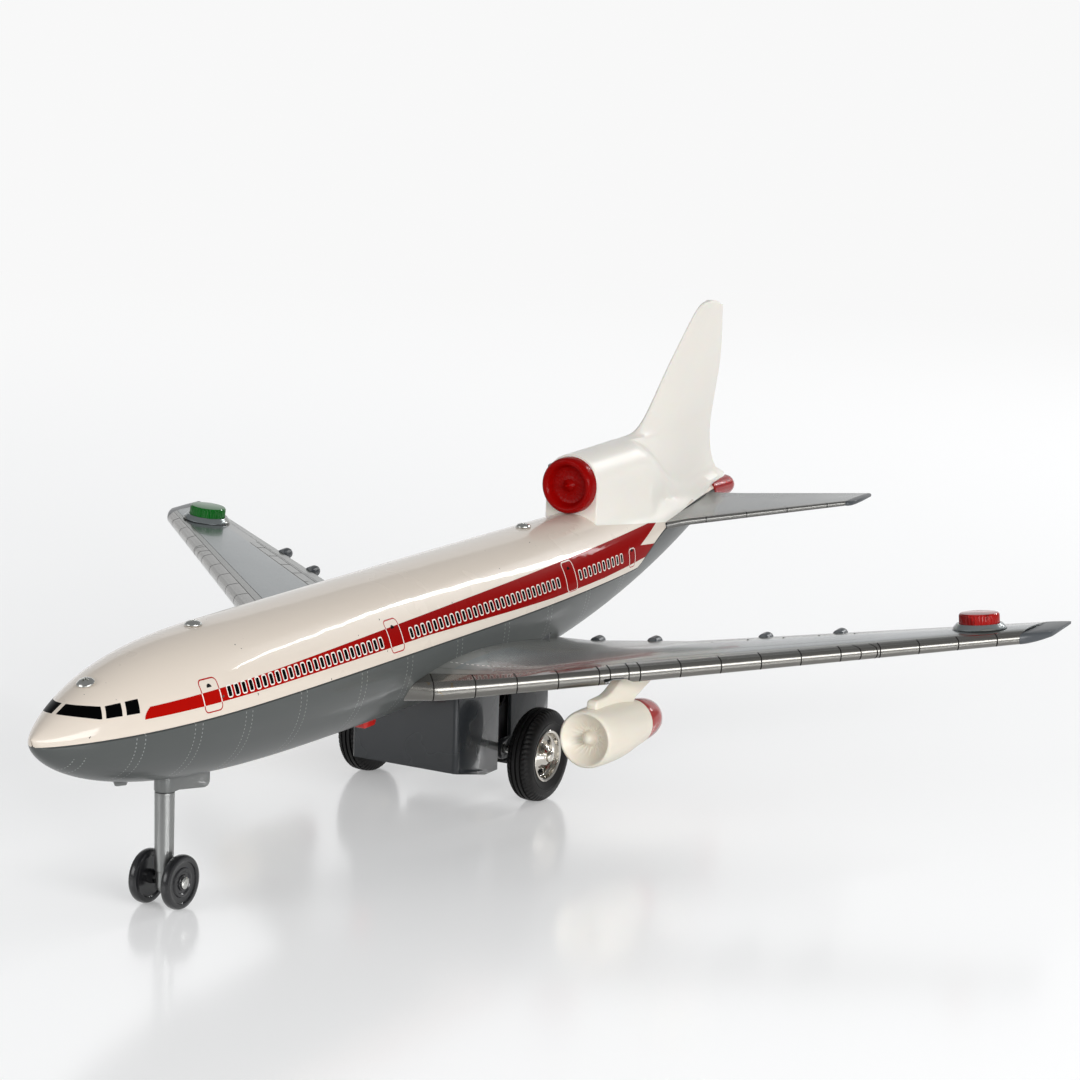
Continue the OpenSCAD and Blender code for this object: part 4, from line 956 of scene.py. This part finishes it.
def wing_under(y):
    """How high the wing's underside is over the engine's axis, less half a millimetre."""
    s = (y - edge_y(ENGINE_X)) / chord(ENGINE_X)
    return wing_at(ENGINE_X, s, under_up(ENGINE_X, s)).z - ENGINE_Z - 0.5


side_view = [(5.2, 8), (5.3, 12), (5.4, 14.4), (6.3, 15.5), (8, 15.7), (15.5, 15.9), (20, 16.9), (24.5, 18.9),
             (26.8, 20.3), (28.3, 21.4), (29.4, 22.8), (30.2, 24.1), (33, 24.3), (36, wing_under(7.5)),
             (50, wing_under(21.5)), (62.4, wing_under(33.9)), (61.4, 17), (58.2, 15.6), (54.5, 14.3),
             (50.6, 13), (46.5, 11.6), (42.5, 10.3), (40, 8)]
PYLON_W = 5
bm = bmesh.new()
outline = [bm.verts.new((-PYLON_W / 2 * MM, a * MM, b * MM)) for a, b in side_view]
face = bm.faces.new(outline)
out = bmesh.ops.extrude_face_region(bm, geom=[face])
pulled = [g for g in out["geom"] if isinstance(g, bmesh.types.BMVert)]
bmesh.ops.translate(bm, vec=(PYLON_W * MM, 0, 0), verts=pulled)
bmesh.ops.recalc_face_normals(bm, faces=bm.faces)
rim = [e for e in bm.edges
       if e.calc_face_angle() > math.radians(60) and abs(e.verts[0].co.x - e.verts[1].co.x) < 1e-6]
bmesh.ops.bevel(bm, geom=rim, offset=0.9 * MM, segments=4, profile=0.5, affect="EDGES", material=-1,
                clamp_overlap=True)
moved(bm, ENGINE)
both_sides("engine_pylon", bm, cream.mat, "airframe", "cream_plastic", sharp=50)

red_gloss = Finish("red_cone_plastic", srgb(168, 44, 40), rough=0.2, coat=0.35, Specular_IOR_Level=0.3)
cap = spun([(0, 0), (9.4, 0), (9.45, 0.3), (9.3, 3.3), (9.0, 6.6), (8.5, 9.8), (7.8, 12.3), (6.7, 14.4),
            (5.1, 16), (3, 17), (0, 17.4)])
BARREL_END = 42.55
moved(cap, ENGINE @ TRIM @ at(0, BARREL_END, 0) @ ALONG_Y)
both_sides("engine_cap", cap, red_gloss.mat, "airframe", "red_plastic", "engine_cone")

# %% [markdown]
# ## Lesson 12: centre intake and tail lamp
#
# A turned red ring with a shallow fan and a pointed spinner closes the duct. The tail lamp is a plain
# red cup over a bulb. It is shown unlit.

# %% Red parts of the tail
red_ring = Finish("red_plastic", srgb(150, 4, 2), rough=0.22, coat=0.04, Specular_IOR_Level=0.05,
                  Subsurface_Weight=0.1, Subsurface_Scale=0.002)
ring = [(0, 0.5), (0.4, 0.6), (0.7, 1.1), (0.9, 1.9), (1.6, 2.6), (2.6, 3.1), (3.1, 3.8), (4.2, 4.2),
        (5, 4.3), (8.2, 4.3), (8.8, 4.0), (9.2, 3.2), (9.6, 2.0), (10.1, 1.0), (10.8, 0.3), (11.6, 0.02),
        (12.4, 0.2), (13, 0.8), (13.4, 1.8), (13.55, 3.2), (13.6, 6.2), (0, 6.2)]
bm = spun(ring, 192)
for v in bm.verts:
    r, h = math.hypot(v.co.x, v.co.y) / MM, v.co.z / MM
    if 4 < r < 9 and h < 5:
        v.co.z -= 0.07 * (0.5 + 0.5 * math.cos(FLUTES * math.atan2(v.co.y, v.co.x))) ** 3 * MM
moved(bm, at(0, 112.2, 124.3) @ ALONG_Y)
piece("centre_inlet_ring", bm, red_ring.mat, "airframe", ["centre_inlet"])
lamp_red = Finish("tail_lamp_plastic", srgb(204, 40, 40), rough=0.2, Transmission_Weight=0.5, IOR=1.49,
                  Subsurface_Weight=0.2, Subsurface_Scale=0.003)
cup = spun([(0, 24.95), (2.2, 24.9), (3.6, 24.4), (4.7, 23.2), (5.15, 21.4), (5.3, 19), (5.3, 0), (4, 0),
            (4, 22), (3, 23.4), (0, 23.6)])
moved(cup, at(0, 265.55, 101.7) @ ALONG_Y)
piece("tail_lamp_cup", cup, lamp_red.mat, "airframe", ["tail_lamp"])

# %% [markdown]
# ## Lesson 13: belly housing and small fittings
#
# These parts are boxes with rounded corners, so the imported shapes are right already. Their edges are
# eased and the dark plastic's roughness varies a little.

# %% Housing, bracket, leg and small fittings
slate = Finish("dark_housing_plastic", srgb(40, 43, 46), rough=0.25, coat=0.3, Specular_IOR_Level=0.3)
slate.place()
slate.set("Roughness", 0.2 + slate.noise(26, 3) * 0.14)
eased("battery_box", slate.mat, "airframe", 0.3)
eased("gear_housing", slate.mat, "airframe", 0.3)
eased("battery_door", slate.mat, "battery_flap", 0.2)
bracket_grey = Finish("bracket_grey", srgb(112, 114, 113), rough=0.34, metal=0.3, coat=0.3)
eased("nose_bracket", bracket_grey.mat, "airframe", 0.5)
eased("belly_tab", bracket_grey.mat, "airframe", 0.1)
leg_grey = Finish("leg_steel", srgb(150, 151, 150), rough=0.3, metal=0.85)
eased("nose_leg", leg_grey.mat, "steering_leg", 0.15)
red_knob = Finish("knob_plastic", srgb(196, 26, 18), rough=0.3, coat=0.3)
eased("switch_knob", red_knob.mat, "switch_slider", 0.3)
steel = Finish("bright_steel", srgb(206, 206, 202), rough=0.2, metal=1.0)
eased("roof_screws", steel.mat, "airframe", 0.12)

# %% [markdown]
# ## Lesson 14: main wheels
#
# Rubber tyres carry grooves round the tread and fine cross ribs on the shoulders. The hubs are pressed
# and chromed: a flat rim, five kidney-shaped slots, a raised dome and a knob on the axle end.

# %% Tyres and hubs
rubber = Finish("tyre_rubber", srgb(19, 18, 18), rough=0.52, Specular_IOR_Level=0.3)
rubber.place()
rubber.set("Roughness", 0.44 + rubber.noise(40, 3) * 0.16)
rubber.bump(rubber.noise(220, 3), 0.03)
tread = [(11.8, -4.4), (11.8, -4.8), (13, -5.3), (15, -5.9), (16.6, -6), (18.3, -5.6), (19.4, -5.0),
         (20.2, -4.2), (20.7, -3.4), (20.85, -2.7), (20.1, -2.55), (20.1, -1.95), (20.95, -1.8), (21, -0.45),
         (20.2, -0.32), (20.2, 0.32), (21, 0.45), (20.95, 1.8), (20.1, 1.95), (20.1, 2.55), (20.85, 2.7),
         (20.7, 3.4), (20.2, 4.2), (19.4, 5.0), (18.3, 5.6), (16.6, 6), (15.6, 5.95), (15.4, 5.75),
         (15.1, 5.75), (14.9, 5.9), (13, 5.3), (11.8, 4.8), (11.8, 4.4), (13, 4.4), (13, -4.4), (11.8, -4.4)]
TREADS = 54
bm = spun(tread, TREADS * 6)
for v in bm.verts:
    r, h = math.hypot(v.co.x, v.co.y) / MM, abs(v.co.z) / MM
    if r > 18.9 and h > 2.65:
        cut = math.cos(TREADS * (math.atan2(v.co.y, v.co.x) + 0.02 * h)) > 0.45
        v.co.xy *= 1 - 0.02 * cut
WHEEL = at(44.5, 13.5, 21) @ ALONG_X
moved(bm, WHEEL)
both_sides("tyre_rubber", bm, rubber.mat, "axle_set", "tyre_rubber", "tyre", sharp=28)

chrome = Finish("chrome", srgb(222, 218, 210), rough=0.09, metal=1.0)
chrome.place()
chrome.set("Roughness", 0.07 + chrome.noise(40, 3) * 0.08)
for side in ("port", "starboard"):
    eased("hub_" + side, chrome.mat, "axle_set", 0.12)

# %% [markdown]
# ## Lesson 15: nose wheels
#
# Two small black wheels run on a plain steel axle with riveted ends.

# %% Nose wheels
black_wheel = Finish("wheel_plastic", srgb(30, 30, 32), rough=0.26, coat=0.3)
bore = 1.3
rings = [(bore, -3.8), (2.6, -3.8), (3, -1.4), (8, -1.4), (8.4, -1.7), (8.7, -2), (10, -2), (10.5, -1.75),
         (10.85, -1.1), (11, 0), (10.85, 1.1), (10.5, 1.75), (10, 2), (8.7, 2), (8.4, 1.85), (8.2, 1.3),
         (7.6, 1.15), (6.1, 1.15), (5.8, 1.6), (5.3, 1.75), (4.8, 1.65), (4.4, 1.25), (3.3, 1.35), (3.1, 1.9),
         (2.6, 2), (bore, 2), (bore, -3.8)]
bm = moved(spun(rings, 120), at(7.75, -207.5, 11) @ ALONG_X)
both_sides("nose_wheel_disc", bm, black_wheel.mat, ("nose_wheel_left", "nose_wheel_right"), "wheel_plastic",
           "nose_wheel")

# %% [markdown]
# ## Lesson 16: what only shows when something is open
#
# Cells, contacts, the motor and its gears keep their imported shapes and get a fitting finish.

# %% Inner parts
wrap = Finish("cell_wrap", srgb(176, 128, 44), rough=0.35, metal=0.3, coat=0.4)
x, y, z = wrap.place()
wrap.layer(x.abs() > 21, srgb(188, 186, 180))
wrap.layer(x.abs().within(6, 21), srgb(34, 34, 38))
brass = Finish("brass", srgb(196, 160, 84), rough=0.25, metal=1.0)
nylon = Finish("nylon", srgb(226, 220, 200), rough=0.45, Subsurface_Weight=0.1, Subsurface_Scale=0.002)
glass = Finish("bulb_glass", srgb(250, 240, 214), rough=0.05, Transmission_Weight=0.7)
board = Finish("switch_board", srgb(120, 84, 48), rough=0.6)
plate = Finish("plated_steel", srgb(176, 177, 176), rough=0.35, metal=0.9)
dressed(["battery_cells"], wrap.mat)
dressed(["battery_contacts", "motor_pinion"], brass.mat)
dressed(["compound_gear", "axle_gear"], nylon.mat)
dressed(["lamp_bulb_port", "lamp_bulb_starboard", "tail_bulb"], glass.mat)
dressed(["switch_body"], board.mat)
dressed(["screw_posts", "gear_frame", "motor", "gear_pin", "leg_clip"], plate.mat)
dressed(["main_axle", "nose_axle"], steel.mat)
print(len(made), "pieces made")

# %% [markdown]
# ## Lesson 17: studio
#
# The toy stands on a pale glossy table that runs into a white background. Two narrow strip lamps behind
# it mirror as one long highlight along the roof. A key lamp on the port side and a weaker one in front
# light the body, a faint one above opens the shadows, and a broad card behind brightens the tin that
# faces it.

# %% Table
scene = bpy.context.scene
scene.view_settings.view_transform = "Standard"
floor_mat = Finish("floor_gloss", (0.9, 0.9, 0.9), rough=0.16, Specular_IOR_Level=1.0)
x, y, z = floor_mat.place()
TABLE_R, FADE = 650, 1500
outside = (((x * x + y * y).root() - TABLE_R) / FADE).max(0).min(1)
outside = outside * outside * (3 - 2 * outside)
floor_tree = floor_mat.tree
ray = floor_tree.nodes.new("ShaderNodeLightPath")
seen = either(*(Num(floor_tree, ray.outputs["Is %s Ray" % kind])
                for kind in ("Camera", "Glossy", "Transmission")))
TABLE_GLOW, PAPER_GLOW = 0.25, 0.94
floor_mat.set("Emission Color", (1, 1, 1, 1))
floor_mat.set("Emission Strength", seen * TABLE_GLOW)
paper = floor_mat.node("ShaderNodeEmission", Color=(1, 1, 1, 1))
floor_tree.links.new((seen * PAPER_GLOW).socket, paper.inputs["Strength"])
blend = floor_tree.nodes.new("ShaderNodeMixShader")
for source, slot in ((outside.socket, 0), (floor_mat.shader.outputs[0], 1), (paper.outputs[0], 2)):
    floor_tree.links.new(source, blend.inputs[slot])
floor_tree.links.new(blend.outputs[0], floor_tree.nodes["Material Output"].inputs["Surface"])
bm = bmesh.new()
bmesh.ops.create_grid(bm, x_segments=1, y_segments=1, size=80)
floor_mesh = bpy.data.meshes.new("floor")
bm.to_mesh(floor_mesh)
floor = bpy.data.objects.new("floor", floor_mesh)
floor_mesh.materials.append(floor_mat.mat)
scene.collection.objects.link(floor)

# %% Light and camera
world = bpy.data.worlds.new("studio")
scene.world = world
world.use_nodes = True
backdrop = world.node_tree.nodes["Background"]
backdrop.inputs["Color"].default_value = (0.96, 0.98, 1, 1)
backdrop.inputs["Strength"].default_value = 0.28


def soft_light(name, place, target, size, power, along=None):
    """A rectangular lamp that faces the target; its long side runs level, or along the given way."""
    light = bpy.data.lights.new(name, "AREA")
    light.shape, light.size, light.size_y = "RECTANGLE", *size
    light.energy = power
    obj = bpy.data.objects.new(name, light)
    obj.visible_camera = False
    back = (Vector(place) - Vector(target)).normalized()
    side = Vector(along).normalized() if along else Vector((0, 0, 1)).cross(back).normalized()
    back = (back - side * back.dot(side)).normalized()
    turn = Matrix((side, back.cross(side), back)).transposed().to_4x4()
    obj.matrix_world = Matrix.Translation(place) @ turn
    scene.collection.objects.link(obj)


soft_light("key", (1.4, -0.7, 0.5), (0, 0, 0.06), (1.3, 0.5), 17)
soft_light("front", (-0.9, -1.6, 0.7), (0, 0, 0.06), (1.2, 0.8), 9)
soft_light("top", (0, 0.1, 1.6), (0, 0.1, 0), (1.4, 1.4), 0.8)
soft_light("strip", (0.748, 1.493, 1.15), (0, 0, 0.1), (0.72, 0.04), 1.65, (1.58, -0.42, 0))
soft_light("tail_strip", (0.62, 1.965, 0.94), (0, 0.15, 0.1), (1.055, 0.07), 8.5, (0.46, 0.87, -0.38))
soft_light("card", (-1.31, 2.18, 0.66), (0, 0, 0.1), (4.4, 1.3), 12)

camera_data = bpy.data.cameras.new("camera")
FOCAL_PX, PICTURE_PX, SENSOR_MM = 3100, 1080, 36
camera_data.lens = FOCAL_PX * SENSOR_MM / PICTURE_PX
camera_data.sensor_width = SENSOR_MM
camera = bpy.data.objects.new("camera", camera_data)
scene.collection.objects.link(camera)
CAMERA_PLACE = (0.695953, -1.16394, 0.376597)
azimuth, dip, roll = 0.507012, 0.189403, 0.0312510
right = Vector((math.cos(azimuth), math.sin(azimuth), 0))
look = Vector((-math.sin(azimuth) * math.cos(dip), math.cos(azimuth) * math.cos(dip), -math.sin(dip)))
up = right.cross(look)
right, up = right * math.cos(roll) + up * math.sin(roll), up * math.cos(roll) - right * math.sin(roll)
axes = Matrix((right, up, -look)).transposed().to_4x4()
camera.matrix_world = Matrix.Translation(CAMERA_PLACE) @ axes
scene.camera = camera
